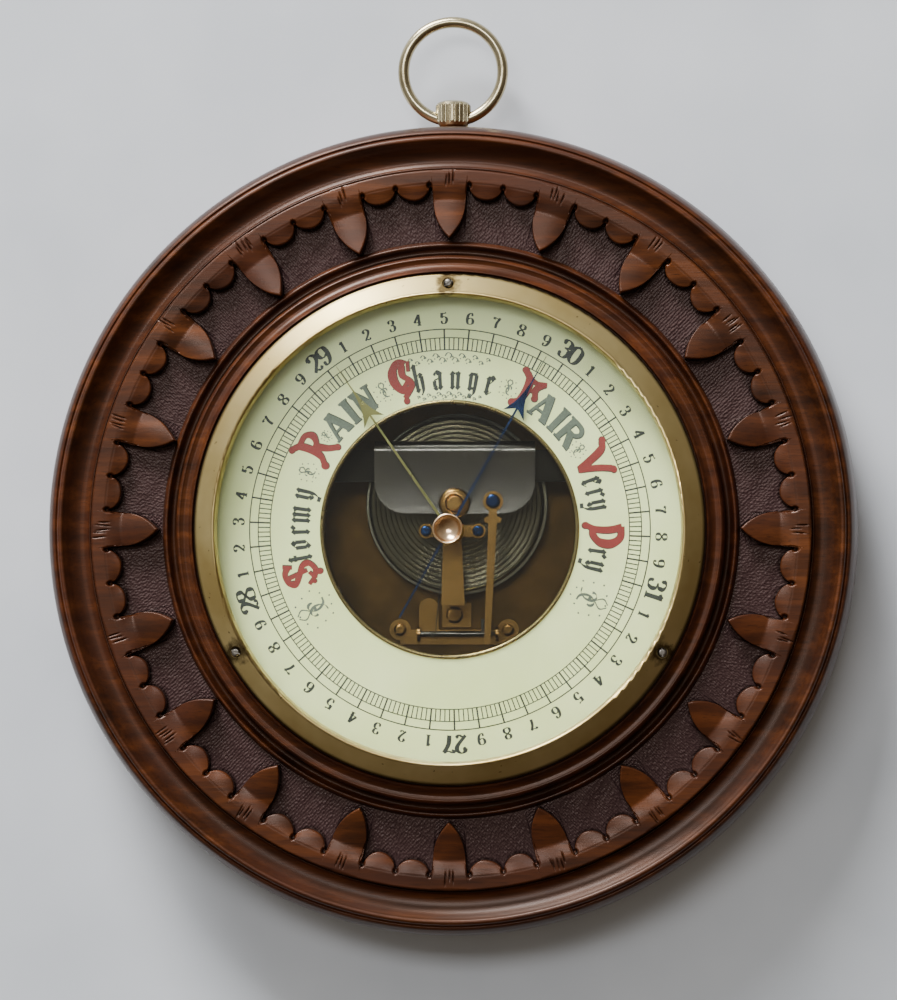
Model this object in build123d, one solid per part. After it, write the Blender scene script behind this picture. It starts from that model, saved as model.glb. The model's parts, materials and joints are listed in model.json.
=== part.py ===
from build123d import *
import math
import os

# Aneroid barometer in a carved, turned wooden case, with an open dial.
# It is modelled as it is seen: X to the right, Y up the wall and Z out of the wall, from the
# case's back. stand_up() turns each finished piece so that +Z is up and the dial faces -Y.
# Lengths are in millimetres.

# Case
CASE_R = 109.0
CASE_SIDE_FRONT = 18.0
BACK_REBATE_R = 66.5
BACK_REBATE_DEPTH = 2.0
LEDGE_R = 55.0
LEDGE_FRONT = 7.5
BORE_R = 63.6
BEZEL_SEAT = 33.0
BAND_R = 96.0
BAND_INNER_R = 92.4
BAND_H = 31.2
GROUND_R = 77.2
GROUND_H = 26.6

# Carving: twenty leaves, and two scallops between each pair
LEAVES = 20
LEAF_TIP_R = 78.5
LEAF_BELLY_R = 85.0
LEAF_BELLY_DEG = 2.8
SCALLOP_CREST_R = 88.3
NOTCH_R = 90.9
BITE_R = 91.7
NOTCH_HALF_DEG = 0.28
LEAF_ROOT_DEG = 3.15

# Bezel and glass
BEZEL_R = 68.0
BEZEL_LIP_R = 61.9
BEZEL_FRONT = 39.3
GLASS_R = 63.0
GLASS_BACK = 34.3
GLASS_FRONT = 36.2
BEZEL_SCREW_PITCH_R = 65.2
BEZEL_SCREW_R = 1.0

# Dial
DIAL_R = 63.0
DIAL_HOLE_R = 34.3
DIAL_BACK = 29.0
DIAL_FRONT = 30.0
DIAL_PLATE = 1.0
PILLAR_PITCH_R = 50.0
PILLAR_R = 2.2

# Plates at the back
BASE_R = 61.0
BASE_T = 1.6
BASE_FRONT = LEDGE_FRONT + BASE_T
BACK_COVER_R = 66.2
BACK_COVER_T = 1.2
SMALL_SCREW_R = 1.0

# Capsule, its bridge and the mainspring
MOVEMENT_X = 1.2
CAPSULE_Y = 7.0
CAPSULE_R = 24.6
CAPSULE_BACK = 9.9
CAPSULE_FRONT = 17.4
CORRUGATIONS = 13
CORRUGATION_H = 0.7
STUD_R = 1.6
BRIDGE_H = 19.0
BRIDGE_LOW_Y = 13.0
BRIDGE_HIGH_Y = 21.5
BRIDGE_LEGS_X = (-24.0, 26.5)
BRIDGE_FEET_X = (-25.4, 28.2)
BRIDGE_FOOT_T = 1.4
BRIDGE_SCREWS = ((-26.8, 18.4), (29.4, 18.4))
BRIDGE_T = 1.8
SPRING_T = 0.8
SPRING_TOP_Y = 23.8
SPRING_END_Y = 4.3
SPRING_W = 43.0
SPRING_FRONT = 26.2
SPRING_CORNER_R = 8.5

# Train
ARBOR_Y = -28.0
ARBOR_H = 12.0
ARBOR_R = 0.8
LONG_ARM = 10.5
LONG_ARM_X = -4.9
SHORT_ARM = 3.5
LINK_X = 9.95
CHAIN_H = ARBOR_H + LONG_ARM
CHAIN_R = 0.15
DRUM_LINE_R = 0.9
POINTER_R = 0.55
RUNNING = 0.05
COCK_BACK = 24.6
COCK_T = 1.2
COCK_FRONT = COCK_BACK + COCK_T
COCK_SCREWS = ((-6.4, -0.35), (7.5, -0.35))
COCK_FOOT_T = 1.3
COCK_FOOT_SCREW = (0.4, -22.9)
FRAME_T = 1.1
FRAME_SCREWS = ((-14.4, -26.9), (14.9, -26.9))
HAIRSPRING_H = 20.2
HAIRSPRING_TURNS = 4
HAIRSPRING_PITCH = 0.8
HAIRSPRING_START_R = 1.05
HAIRSPRING_WIRE = 0.16

# The regulating screw, reached through the back cover
REGULATOR_X = -29.8
REGULATOR_Y = 17.3
REGULATOR_R = 1.5

# Hands, counted clockwise from the top of the dial
POINTER_DEG = 29.4
SET_HAND_DEG = -34.7
HAND_TIP_R = 52.7
HAND_BARB_R = 35.4
HAND_BARB_HALF = 3.1
HAND_T = 0.4
POINTER_H = 31.3
SET_HAND_H = 32.9
KNOB_R = 4.05
KNOB_FRONT = 40.2

# Hanging ring and its pendant
PENDANT_H = 11.0
PENDANT_R = 4.8
PENDANT_TOP = 116.9
PENDANT_FLUTES = 24
PENDANT_FLUTE_R = 0.4
RING_R = 13.5
RING_WIRE_R = 1.5
RING_Y = 111.5


def at_clock(radius, degrees):
    """A point on the face at a radius, degrees clockwise from the top."""
    turn = math.radians(degrees)
    return (radius * math.sin(turn), radius * math.cos(turn))


def turned(*edges):
    """A solid turned about the case's axis from a closed outline of (radius, height)."""
    outline = edges[0]
    for edge in edges[1:]:
        outline += edge
    return revolve(Plane.XZ * make_face(outline), Axis.Z, 360)


def turned_points(*points):
    return turned(Polyline(*points, close=True))


def post(x, y, radius, low, high):
    """A round bar along the case's axis."""
    return Pos(x, y, low) * Cylinder(radius, high - low, align=(Align.CENTER, Align.CENTER, Align.MIN))


def slab(face, low, high):
    return Pos(0, 0, low) * extrude(face, high - low)


def ring_of(solid, count, start=0.0):
    """Copies of a solid evenly spaced about the case's axis, from a clock angle."""
    return [Rot(0, 0, -(start + i * 360 / count)) * solid for i in range(count)]


def screw(x, y, seat, head_r, head_h, shank_r, length, domed=True):
    """A slotted screw standing on its seat, its shank running back from it."""
    head = post(x, y, head_r, seat, seat + head_h)
    if domed:
        head = fillet(head.faces().sort_by(Axis.Z)[-1].edges(), head_h * 0.6)
    slot = Pos(x, y, seat + head_h) * Rot(0, 0, 35) * Box(head_r * 2.4, head_r * 0.28, head_h * 0.8)
    return head - slot + post(x, y, shank_r, seat - length, seat)


def carved_outline():
    """The edge of the raised carving: leaves and scallops, cut by small drilled bites."""
    edges = []
    for i in range(LEAVES):
        centre = i * 360 / LEAVES

        def p(radius, offset):
            return at_clock(radius, centre + offset)

        def arc(a, b, c):
            edges.append(ThreePointArc(p(*a), p(*b), p(*c)))

        half_pitch = 180 / LEAVES
        root = LEAF_ROOT_DEG
        bite = NOTCH_HALF_DEG
        crest = (root + half_pitch) / 2
        arc((LEAF_TIP_R, 0), (LEAF_BELLY_R, LEAF_BELLY_DEG), (NOTCH_R, root - bite))
        arc((NOTCH_R, root - bite), (BITE_R, root), (NOTCH_R, root + bite))
        arc((NOTCH_R, root + bite), (SCALLOP_CREST_R, crest), (NOTCH_R, half_pitch - bite))
        arc((NOTCH_R, half_pitch - bite), (BITE_R, half_pitch), (NOTCH_R, half_pitch + bite))
        far = 2 * half_pitch
        arc((NOTCH_R, half_pitch + bite), (SCALLOP_CREST_R, far - crest), (NOTCH_R, far - root - bite))
        arc((NOTCH_R, far - root - bite), (BITE_R, far - root), (NOTCH_R, far - root + bite))
        arc((NOTCH_R, far - root + bite), (LEAF_BELLY_R, far - LEAF_BELLY_DEG), (LEAF_TIP_R, far))
    outline = edges[0]
    for edge in edges[1:]:
        outline += edge
    return make_face(outline)


def make_wood_case(pendant):
    body = turned(
        Line((BACK_REBATE_R, 0), (104, 0)),
        ThreePointArc((104, 0), (107.5, 1.5), (CASE_R, 5)),
        Line((CASE_R, 5), (CASE_R, CASE_SIDE_FRONT)),
        ThreePointArc((CASE_R, CASE_SIDE_FRONT), (108.3, 20.8), (106.3, 22.2)),
        Polyline((106.3, 22.2), (106.0, 22.9), (105.4, 22.9)),
        ThreePointArc((105.4, 22.9), (101.9, 24.7), (100.6, 28.6)),
        Line((100.6, 28.6), (100.6, 29.2)),
        ThreePointArc((100.6, 29.2), (98.6, 31.9), (96.8, 30.9)),
        Polyline((96.8, 30.9), (96.4, 30.2), (BAND_R, BAND_H), (BAND_INNER_R, BAND_H), (GROUND_R, 28.8)),
        Polyline((GROUND_R, 28.8), (GROUND_R, GROUND_H), (76.3, 28.6), (75.6, 28.6), (75.2, 27.2)),
        Polyline((75.2, 27.2), (73.7, 26.6), (73.2, 29.4)),
        ThreePointArc((73.2, 29.4), (71.6, 33.6), (68.9, 34.3)),
        Polyline((68.9, 34.3), (68.2, 33.8), (68.2, BEZEL_SEAT), (BORE_R, BEZEL_SEAT)),
        Polyline((BORE_R, BEZEL_SEAT), (BORE_R, LEDGE_FRONT), (LEDGE_R, LEDGE_FRONT)),
        Polyline((LEDGE_R, LEDGE_FRONT), (LEDGE_R, BACK_REBATE_DEPTH), (BACK_REBATE_R, BACK_REBATE_DEPTH)),
        Line((BACK_REBATE_R, BACK_REBATE_DEPTH), (BACK_REBATE_R, 0)),
    )
    sunk = carved_outline() - Circle(GROUND_R)
    body -= slab(sunk, GROUND_H, BAND_H + 1)
    body -= pendant
    for hole in ring_of(post(0, BEZEL_SCREW_PITCH_R, BEZEL_SCREW_R, 24, BEZEL_SEAT), 3):
        body -= hole
    for hole in ring_of(post(0, 58.5, SMALL_SCREW_R, BACK_REBATE_DEPTH, LEDGE_FRONT), 3, 60):
        body -= hole
    for hole in ring_of(post(0, 61.0, SMALL_SCREW_R, BACK_REBATE_DEPTH, 6), 3):
        body -= hole
    return body


def make_pendant():
    """A fluted pendant screwed into the case's edge, with a bell-mouthed cross hole for the ring."""
    stem = Polyline((0, 101), (2.0, 101), (2.0, 108.8), (3.4, 108.8), (3.4, 109.6), (4.2, 110.2), (PENDANT_R, 111.2))
    crown = Polyline((PENDANT_R, 111.2), (PENDANT_R, 115.6), (4.2, 116.4), (3.0, PENDANT_TOP), (0, PENDANT_TOP))
    half = make_face(stem + crown + Line((0, PENDANT_TOP), (0, 101)))
    barrel = revolve(half, Axis.Y, 360)
    flute = Rot(-90, 0, 0) * Cylinder(PENDANT_FLUTE_R, PENDANT_TOP - 109.0)
    for i in range(PENDANT_FLUTES):
        turn = Rot(0, (i + 0.5) * 360 / PENDANT_FLUTES, 0)
        barrel -= turn * Pos(0, (PENDANT_TOP + 111.0) / 2, PENDANT_R + PENDANT_FLUTE_R * 0.4) * flute
    solid = Pos(0, 0, PENDANT_H) * barrel
    mouth = PENDANT_R + 0.3
    throat = RING_WIRE_R + 0.12
    flare = throat + mouth * mouth / (2 * RING_R) + 0.05
    bell = make_face(
        Polyline((-mouth, flare), (-mouth, 0), (mouth, 0), (mouth, flare))
        + ThreePointArc((mouth, flare), (0, throat), (-mouth, flare))
    )
    hole = Pos(0, RING_Y, PENDANT_H) * revolve(bell, Axis.X, 360)
    return solid - hole


def make_hanging_ring():
    return Pos(0, RING_Y + RING_R, PENDANT_H) * Torus(RING_R, RING_WIRE_R)


def make_bezel():
    ring = turned(
        Polyline((63.3, BEZEL_SEAT), (BEZEL_R, BEZEL_SEAT), (BEZEL_R, 34.3)),
        ThreePointArc((BEZEL_R, 34.3), (67.8, 34.8), (67.4, 35.1)),
        Line((67.4, 35.1), (62.9, 38.9)),
        ThreePointArc((62.9, 38.9), (62.4, BEZEL_FRONT), (BEZEL_LIP_R, 38.9)),
        Polyline((BEZEL_LIP_R, 38.9), (61.5, GLASS_FRONT), (63.3, GLASS_FRONT), (63.3, BEZEL_SEAT)),
    )
    for hole in ring_of(post(0, BEZEL_SCREW_PITCH_R, BEZEL_SCREW_R, BEZEL_SEAT, 40), 3):
        ring -= hole
    for sink in ring_of(post(0, BEZEL_SCREW_PITCH_R, 1.6, 35.4, 40), 3):
        ring -= sink
    return ring


def make_bezel_screws():
    return ring_of(screw(0, BEZEL_SCREW_PITCH_R, 35.4, 1.25, 1.2, BEZEL_SCREW_R, 10), 3)


def make_glass():
    return post(0, 0, GLASS_R, GLASS_BACK, GLASS_FRONT) - post(0, 0, 1.7, GLASS_BACK, GLASS_FRONT)


def make_glass_ring():
    """The sprung wire ring that holds the glass in the bezel, open at the bottom."""
    wire = turned_points((62.1, 33.3), (63.2, 33.3), (63.2, GLASS_BACK), (62.1, GLASS_BACK))
    return wire - Pos(0, -62.5, 33.5) * Box(3, 4, 4)


def make_dial():
    return slab(Circle(DIAL_R) - Circle(DIAL_HOLE_R), DIAL_BACK, DIAL_FRONT)


def make_dial_plate():
    return slab(Circle(DIAL_R - 0.4) - Circle(DIAL_HOLE_R + 0.6), DIAL_BACK - DIAL_PLATE, DIAL_BACK)


def make_sight_ring():
    return turned(
        Polyline((DIAL_HOLE_R, DIAL_BACK - 0.6), (DIAL_HOLE_R, DIAL_FRONT), (DIAL_HOLE_R + 0.3, DIAL_FRONT)),
        ThreePointArc((DIAL_HOLE_R + 0.3, DIAL_FRONT), (DIAL_HOLE_R - 0.2, DIAL_FRONT + 0.5), (33.4, DIAL_FRONT - 0.2)),
        Polyline((33.4, DIAL_FRONT - 0.2), (33.4, DIAL_BACK - 0.6), (DIAL_HOLE_R, DIAL_BACK - 0.6)),
    )


def make_dial_pillars():
    return ring_of(post(0, PILLAR_PITCH_R, PILLAR_R, BASE_FRONT, DIAL_BACK - DIAL_PLATE), 3, 20)


def make_pillar_screws():
    """Screws through the base plate into the dial pillars are left as their rear heads."""
    return ring_of(post(0, PILLAR_PITCH_R, 1.8, 6.3, LEDGE_FRONT), 3, 20)


def make_base_plate():
    plate = post(0, 0, BASE_R, LEDGE_FRONT, BASE_FRONT)
    for hole in ring_of(post(0, 58.5, SMALL_SCREW_R, LEDGE_FRONT, BASE_FRONT), 3, 60):
        plate -= hole
    plate -= post(REGULATOR_X, REGULATOR_Y, REGULATOR_R + RUNNING, LEDGE_FRONT, BASE_FRONT)
    plate -= post(MOVEMENT_X, CAPSULE_Y, 2.5, LEDGE_FRONT, BASE_FRONT)
    for x, y in (*FRAME_SCREWS, *BRIDGE_SCREWS, COCK_FOOT_SCREW):
        plate -= post(x, y, SMALL_SCREW_R, LEDGE_FRONT, BASE_FRONT)
    return plate


def make_base_screws():
    return ring_of(screw(0, 58.5, BASE_FRONT, 2.2, 1.4, SMALL_SCREW_R, 6), 3, 60)


def make_back_cover():
    cover = post(0, 0, BACK_COVER_R, BACK_REBATE_DEPTH - BACK_COVER_T, BACK_REBATE_DEPTH)
    cover -= post(REGULATOR_X, REGULATOR_Y, 4.0, 0, BACK_REBATE_DEPTH)
    for hole in ring_of(post(0, 61.0, SMALL_SCREW_R, 0, BACK_REBATE_DEPTH), 3):
        cover -= hole
    return cover


def make_back_cover_screws():
    shank = post(0, 61.0, SMALL_SCREW_R, BACK_REBATE_DEPTH - BACK_COVER_T, 6)
    head = post(0, 61.0, 2.0, 0.1, BACK_REBATE_DEPTH - BACK_COVER_T)
    slot = Pos(0, 61.0, 0.1) * Box(5, 0.5, 0.5)
    return ring_of(head - slot + shank, 3)


def make_regulating_screw():
    shank = post(REGULATOR_X, REGULATOR_Y, REGULATOR_R, LEDGE_FRONT, BRIDGE_H - 0.1)
    head = post(REGULATOR_X, REGULATOR_Y, 2.8, 5.3, LEDGE_FRONT - 0.1)
    neck = post(REGULATOR_X, REGULATOR_Y, REGULATOR_R, LEDGE_FRONT - 0.2, LEDGE_FRONT)
    slot = Pos(REGULATOR_X, REGULATOR_Y, 5.3) * Box(6, 0.8, 1.4)
    return head - slot + neck + shank


def make_capsule():
    """Two corrugated discs soldered at the rim."""
    crown = [(3.2, CAPSULE_FRONT)]
    pitch = (CAPSULE_R - 3.2 - 1.6) / CORRUGATIONS
    for i in range(CORRUGATIONS):
        inner = 3.2 + i * pitch
        crown.append((inner + pitch * 0.5, CAPSULE_FRONT - CORRUGATION_H))
        crown.append((inner + pitch, CAPSULE_FRONT))
    rim = [(CAPSULE_R - 0.9, CAPSULE_FRONT - 0.9), (CAPSULE_R - 0.9, 14.2), (CAPSULE_R, 14.0), (CAPSULE_R, 13.3)]
    back = [(CAPSULE_R - 0.9, 13.1), (CAPSULE_R - 0.9, CAPSULE_BACK + 0.9), (CAPSULE_R - 1.6, CAPSULE_BACK)]
    outline = [(0, CAPSULE_FRONT)] + crown + rim + back + [(0, CAPSULE_BACK)]
    return Pos(MOVEMENT_X, CAPSULE_Y, 0) * turned_points(*outline)


def make_capsule_foot():
    """The capsule's rear stud, through the base plate, with its nut behind."""
    seat = post(MOVEMENT_X, CAPSULE_Y, 4.0, BASE_FRONT, CAPSULE_BACK)
    return seat + post(MOVEMENT_X, CAPSULE_Y, 2.5, 5.0, BASE_FRONT)


def make_capsule_foot_nut():
    nut = slab(Pos(MOVEMENT_X, CAPSULE_Y) * RegularPolygon(4.2, 6), 5.2, LEDGE_FRONT)
    return nut - post(MOVEMENT_X, CAPSULE_Y, 2.5, 5.0, LEDGE_FRONT)


def make_capsule_stud():
    """The front stud, which the mainspring holds up by its collar."""
    return post(MOVEMENT_X, CAPSULE_Y, STUD_R, CAPSULE_FRONT, 29.0)


def make_stud_collar():
    """A domed brass collar on the mainspring, round the stud's head."""
    dome = turned(
        Polyline((STUD_R, SPRING_FRONT), (4.3, SPRING_FRONT)),
        ThreePointArc((4.3, SPRING_FRONT), (3.7, 27.5), (2.5, 27.9)),
        ThreePointArc((2.5, 27.9), (2.2, 27.4), (STUD_R, 27.4)),
        Line((STUD_R, 27.4), (STUD_R, SPRING_FRONT)),
    )
    return Pos(MOVEMENT_X, CAPSULE_Y, 0) * dome


def make_spring_bridge():
    """A bridge straddling the capsule, which carries the mainspring's lower leaf."""
    left, right = -31.5, 31.0
    middle = (BRIDGE_LOW_Y + BRIDGE_HIGH_Y) / 2
    width = BRIDGE_HIGH_Y - BRIDGE_LOW_Y
    bridge = Pos((left + right) / 2, middle, BRIDGE_H + BRIDGE_T / 2) * Box(right - left, width, BRIDGE_T)
    for x in BRIDGE_LEGS_X:
        bridge += Pos(x, middle + 1.2, (BASE_FRONT + BRIDGE_H) / 2) * Box(2.6, 6.0, BRIDGE_H - BASE_FRONT)
    for x in BRIDGE_FEET_X:
        bridge += Pos(x, middle + 1.2, BASE_FRONT + BRIDGE_FOOT_T / 2) * Box(5.4, 6.0, BRIDGE_FOOT_T)
    for x, y in BRIDGE_SCREWS:
        bridge -= post(x, y, SMALL_SCREW_R, BASE_FRONT, BASE_FRONT + BRIDGE_FOOT_T)
    return bridge


def make_bridge_screws():
    seat = BASE_FRONT + BRIDGE_FOOT_T
    return [screw(x, y, seat, 1.35, 1.0, SMALL_SCREW_R, seat - LEDGE_FRONT) for x, y in BRIDGE_SCREWS]


def make_mainspring():
    """A strip folded to a C: the lower leaf on the bridge, the wide upper leaf over the capsule."""
    left = MOVEMENT_X - SPRING_W / 2
    back = BRIDGE_H + BRIDGE_T
    fold_r = (SPRING_FRONT - back) / 2
    fold_y = SPRING_TOP_Y - fold_r
    centre = back + fold_r
    inner = fold_r - SPRING_T
    section = make_face(
        Polyline((SPRING_END_Y, SPRING_FRONT - SPRING_T), (SPRING_END_Y, SPRING_FRONT), (fold_y, SPRING_FRONT))
        + ThreePointArc((fold_y, SPRING_FRONT), (SPRING_TOP_Y, centre), (fold_y, back))
        + Polyline((fold_y, back), (13.5, back), (13.5, back + SPRING_T), (fold_y, back + SPRING_T))
        + ThreePointArc((fold_y, back + SPRING_T), (fold_y + inner, centre), (fold_y, SPRING_FRONT - SPRING_T))
        + Line((fold_y, SPRING_FRONT - SPRING_T), (SPRING_END_Y, SPRING_FRONT - SPRING_T))
    )
    strip = Pos(left, 0, 0) * extrude(Plane.YZ * section, SPRING_W)
    outline = Pos(MOVEMENT_X, 20) * RectangleRounded(SPRING_W, 2 * (20 - SPRING_END_Y), SPRING_CORNER_R)
    strip &= slab(outline, back - 1, SPRING_FRONT + 1)
    return strip - post(MOVEMENT_X, CAPSULE_Y, STUD_R, BRIDGE_H, SPRING_FRONT + 1)


def make_main_lever():
    """The strip that carries the mainspring's movement down to the arbor."""
    head = Pos(11.5, 7.6) * Circle(2.7)
    ears = Pos(11.4, 2.6) * SlotOverall(4.6, 1.6)
    strip = make_face(Polyline((10.5, 7.6), (12.5, 7.6), (12.5, 1.5), (10.75, -30.6), (9.1, -30.6), (10.25, 1.5), close=True))
    lever = slab(head + ears + strip, SPRING_FRONT, SPRING_FRONT + 0.9)
    return lever - post(11.5, 7.6, SMALL_SCREW_R, SPRING_FRONT, SPRING_FRONT + 1)


def make_lever_screw():
    seat = SPRING_FRONT + 0.9
    head = post(11.5, 7.6, 1.9, seat, seat + 1.3)
    head = fillet(head.faces().sort_by(Axis.Z)[-1].edges(), 0.7)
    slot = Pos(11.5, 7.6, seat + 1.3) * Rot(0, 0, 20) * Box(5, 0.45, 1.0)
    return head - slot + post(11.5, 7.6, SMALL_SCREW_R, SPRING_FRONT, seat)


def make_lever_link():
    """A wire hung from the lever's tip. Its hook stays just clear of the arbor's arm."""
    y = ARBOR_Y + SHORT_ARM
    return post(LINK_X, y, 0.35, ARBOR_H - 0.9, SPRING_FRONT)


def make_arbor_frame():
    """The brass frame low on the base plate, with an upturned ear at each end of the arbor."""
    strip = Pos(0.0, -28.9) * Rectangle(28.8, 4.0)
    (left, y), (right, _) = FRAME_SCREWS
    lugs = Pos(left, y) * Circle(2.9) + Pos(right, y) * Circle(2.9)
    tongue = Pos(-6.6, -25.0) * Rectangle(5.3, 8.0) + Pos(-6.6, -21.0) * Circle(2.65)
    frame = slab(strip + lugs + tongue, BASE_FRONT, BASE_FRONT + FRAME_T)
    for x in (-9.6, 11.6):
        ear = Pos(x + 0.4, ARBOR_Y, (BASE_FRONT + ARBOR_H) / 2) * Box(0.8, 4.0, ARBOR_H - BASE_FRONT)
        crown = Pos(x + 0.4, ARBOR_Y, ARBOR_H) * Rot(0, 90, 0) * Cylinder(2.0, 0.8)
        frame += ear + crown
    for x, y in FRAME_SCREWS:
        frame -= post(x, y, SMALL_SCREW_R, BASE_FRONT, BASE_FRONT + FRAME_T)
    pivot = Pos(0, ARBOR_Y, ARBOR_H) * Rot(0, 90, 0) * Cylinder(0.5 + RUNNING, 60)
    return frame - pivot


def make_frame_screws():
    seat = BASE_FRONT + FRAME_T
    return [screw(x, y, seat, 1.7, 1.2, SMALL_SCREW_R, seat - LEDGE_FRONT) for x, y in FRAME_SCREWS]


def make_rocking_arbor():
    """The cross arbor: a short arm that the link works, and a long arm that pulls the chain."""
    turn = Rot(0, 90, 0)
    shaft = Pos(1.0, ARBOR_Y, ARBOR_H) * turn * Cylinder(ARBOR_R, 19.4)
    pivots = Pos(1.0, ARBOR_Y, ARBOR_H) * turn * Cylinder(0.5, 21.0)
    short = Pos(8.1, ARBOR_Y + SHORT_ARM / 2 + 0.3, ARBOR_H) * Box(0.8, SHORT_ARM + 0.6, 1.4)
    pin = Pos(8.85, ARBOR_Y + SHORT_ARM, ARBOR_H) * turn * Cylinder(0.25, 0.8)
    long = Pos(LONG_ARM_X, ARBOR_Y, ARBOR_H + LONG_ARM / 2 + 0.2) * Box(0.6, 1.6, LONG_ARM + 0.4)
    return shaft + pivots + short + pin + long


def make_chain():
    """The fine chain from the long arm to the drum, as its straight run."""
    start = (LONG_ARM_X + 0.7, ARBOR_Y)
    end = (-DRUM_LINE_R - CHAIN_R, 2.4)
    length = math.dist(start, end)
    slope = math.degrees(math.atan2(end[0] - start[0], end[1] - start[1]))
    run = Cylinder(CHAIN_R, length, align=(Align.CENTER, Align.CENTER, Align.MIN))
    return Pos(start[0], start[1], CHAIN_H) * Rot(0, 0, -slope) * Rot(-90, 0, 0) * run


def make_pointer_cock():
    """The T-shaped cock that carries the pointer's arbor, stepped down to a foot on the plate."""
    (left, y), (right, _) = COCK_SCREWS
    head = Pos((left + right) / 2, y) * SlotOverall(right - left + 4.0, 3.2)
    bar = make_face(Polyline((-1.8, 0), (2.9, 0), (3.9, -20.2), (-2.4, -20.2), close=True))
    ends = Pos(left, y) * Circle(2.0) + Pos(right, y) * Circle(2.0)
    cock = slab(head + bar + ends, COCK_BACK, COCK_FRONT)
    web = Pos(1.1, -19.6, (BASE_FRONT + COCK_FRONT) / 2) * Box(5.0, 1.2, COCK_FRONT - BASE_FRONT)
    foot = slab(Pos(1.0, -22.9) * Rectangle(7.8, 6.6), BASE_FRONT, BASE_FRONT + COCK_FOOT_T)
    cock = cock + web + foot
    cock -= post(0, 0, POINTER_R + RUNNING, COCK_BACK, COCK_FRONT)
    for x, y in COCK_SCREWS:
        cock -= post(x, y, 0.8, COCK_BACK, COCK_FRONT)
    x, y = COCK_FOOT_SCREW
    cock -= post(x, y, SMALL_SCREW_R, BASE_FRONT, BASE_FRONT + COCK_FOOT_T)
    stud_y = HAIRSPRING_START_R + (HAIRSPRING_TURNS * 2) * HAIRSPRING_PITCH / 2 + HAIRSPRING_WIRE + 0.3
    return cock + post(0, -stud_y, 0.35, HAIRSPRING_H - 0.3, COCK_BACK)


def make_cock_screws():
    screws = []
    for x, y in COCK_SCREWS:
        screws.append(screw(x, y, COCK_FRONT + 0.5, 1.5, 1.0, 0.8, 8.3))
    return screws


def make_screw_collars():
    collars = []
    for x, y in COCK_SCREWS:
        ring = post(x, y, 1.95, COCK_FRONT, COCK_FRONT + 0.5) - post(x, y, 0.8, COCK_FRONT, COCK_FRONT + 0.5)
        collars.append(ring)
    return collars


def make_cock_foot_screw():
    seat = BASE_FRONT + COCK_FOOT_T
    return screw(*COCK_FOOT_SCREW, seat, 2.3, 1.4, SMALL_SCREW_R, seat - LEDGE_FRONT)


def make_under_plate():
    """The lower bearing of the pointer's arbor, hung from the cock on two pillars."""
    (left, y), (right, _) = COCK_SCREWS
    plate = slab(Pos((left + right) / 2, y) * SlotOverall(right - left + 3.2, 3.2), 18.5, 19.3)
    for x, y in COCK_SCREWS:
        plate += post(x, y, 1.3, 19.3, COCK_BACK)
        plate -= post(x, y, 0.8, 18.5, COCK_BACK)
    return plate - post(0, 0, 0.4 + RUNNING, 18.5, 19.3)


def make_pointer_arbor():
    """The pointer's arbor with the drum that the chain winds on."""
    drum = DRUM_LINE_R - RUNNING
    return turned_points(
        (0, 18.5), (0.4, 18.5), (0.4, 19.4), (POINTER_R, 19.4), (POINTER_R, 20.0), (0.95, 20.0),
        (0.95, 20.8), (POINTER_R, 20.8), (POINTER_R, 21.5), (1.3, 21.5), (1.3, 21.8),
        (drum, 21.8), (drum, 23.2), (1.3, 23.2), (1.3, 23.5), (POINTER_R, 23.5), (POINTER_R, 32.0), (0, 32.0),
    )


def make_hairspring():
    """A flat spiral of half circles, each wider than the last by half the pitch."""
    outer, inner = [], []
    for i in range(2 * HAIRSPRING_TURNS):
        radius = HAIRSPRING_START_R + i * HAIRSPRING_PITCH / 2
        side = -1 if i % 2 else 1
        centre = -HAIRSPRING_PITCH / 2 if i % 2 else 0
        for edges, r in ((outer, radius + HAIRSPRING_WIRE / 2), (inner, radius - HAIRSPRING_WIRE / 2)):
            edges.append(ThreePointArc((0, centre - side * r), (side * r, centre), (0, centre + side * r)))
    outline = outer[0]
    for edge in outer[1:] + inner:
        outline += edge
    outline += Line(outer[0] @ 0, inner[0] @ 0) + Line(outer[-1] @ 1, inner[-1] @ 1)
    return slab(make_face(outline), HAIRSPRING_H, HAIRSPRING_H + 0.4)


def hand_outline(tail_r, boss_r):
    """A needle with a swallow-tailed head: its point is at the tip and its barbs sweep back."""
    half = 0.42
    right = [
        (0.0, HAND_TIP_R), (0.32, 47.5), (1.15, 40.0), (HAND_BARB_HALF, HAND_BARB_R), (0.75, 38.2), (half, 38.0),
        (half + 0.1, boss_r),
    ]
    left = [(-x, y) for x, y in reversed(right[1:])]
    blade = make_face(Polyline(*right, *left, close=True)) + Circle(boss_r + 0.4)
    if tail_r > 0:
        blade += make_face(Polyline((0.5, 0), (0.3, -tail_r), (-0.3, -tail_r), (-0.5, 0), close=True))
    return blade


def make_indicating_hand():
    hand = slab(hand_outline(27.0, 2.0), POINTER_H, POINTER_H + HAND_T)
    hand -= post(0, 0, POINTER_R, POINTER_H, POINTER_H + HAND_T)
    return Rot(0, 0, -POINTER_DEG) * hand


def make_set_hand():
    hand = slab(hand_outline(0, 2.0), SET_HAND_H, SET_HAND_H + HAND_T)
    hand -= post(0, 0, 1.0, SET_HAND_H, SET_HAND_H + HAND_T)
    return Rot(0, 0, -SET_HAND_DEG) * hand


def make_set_arbor():
    return post(0, 0, 1.0, SET_HAND_H - 0.3, GLASS_FRONT + 0.9) + post(0, 0, 1.9, SET_HAND_H + HAND_T, GLASS_BACK - 0.1)


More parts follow.
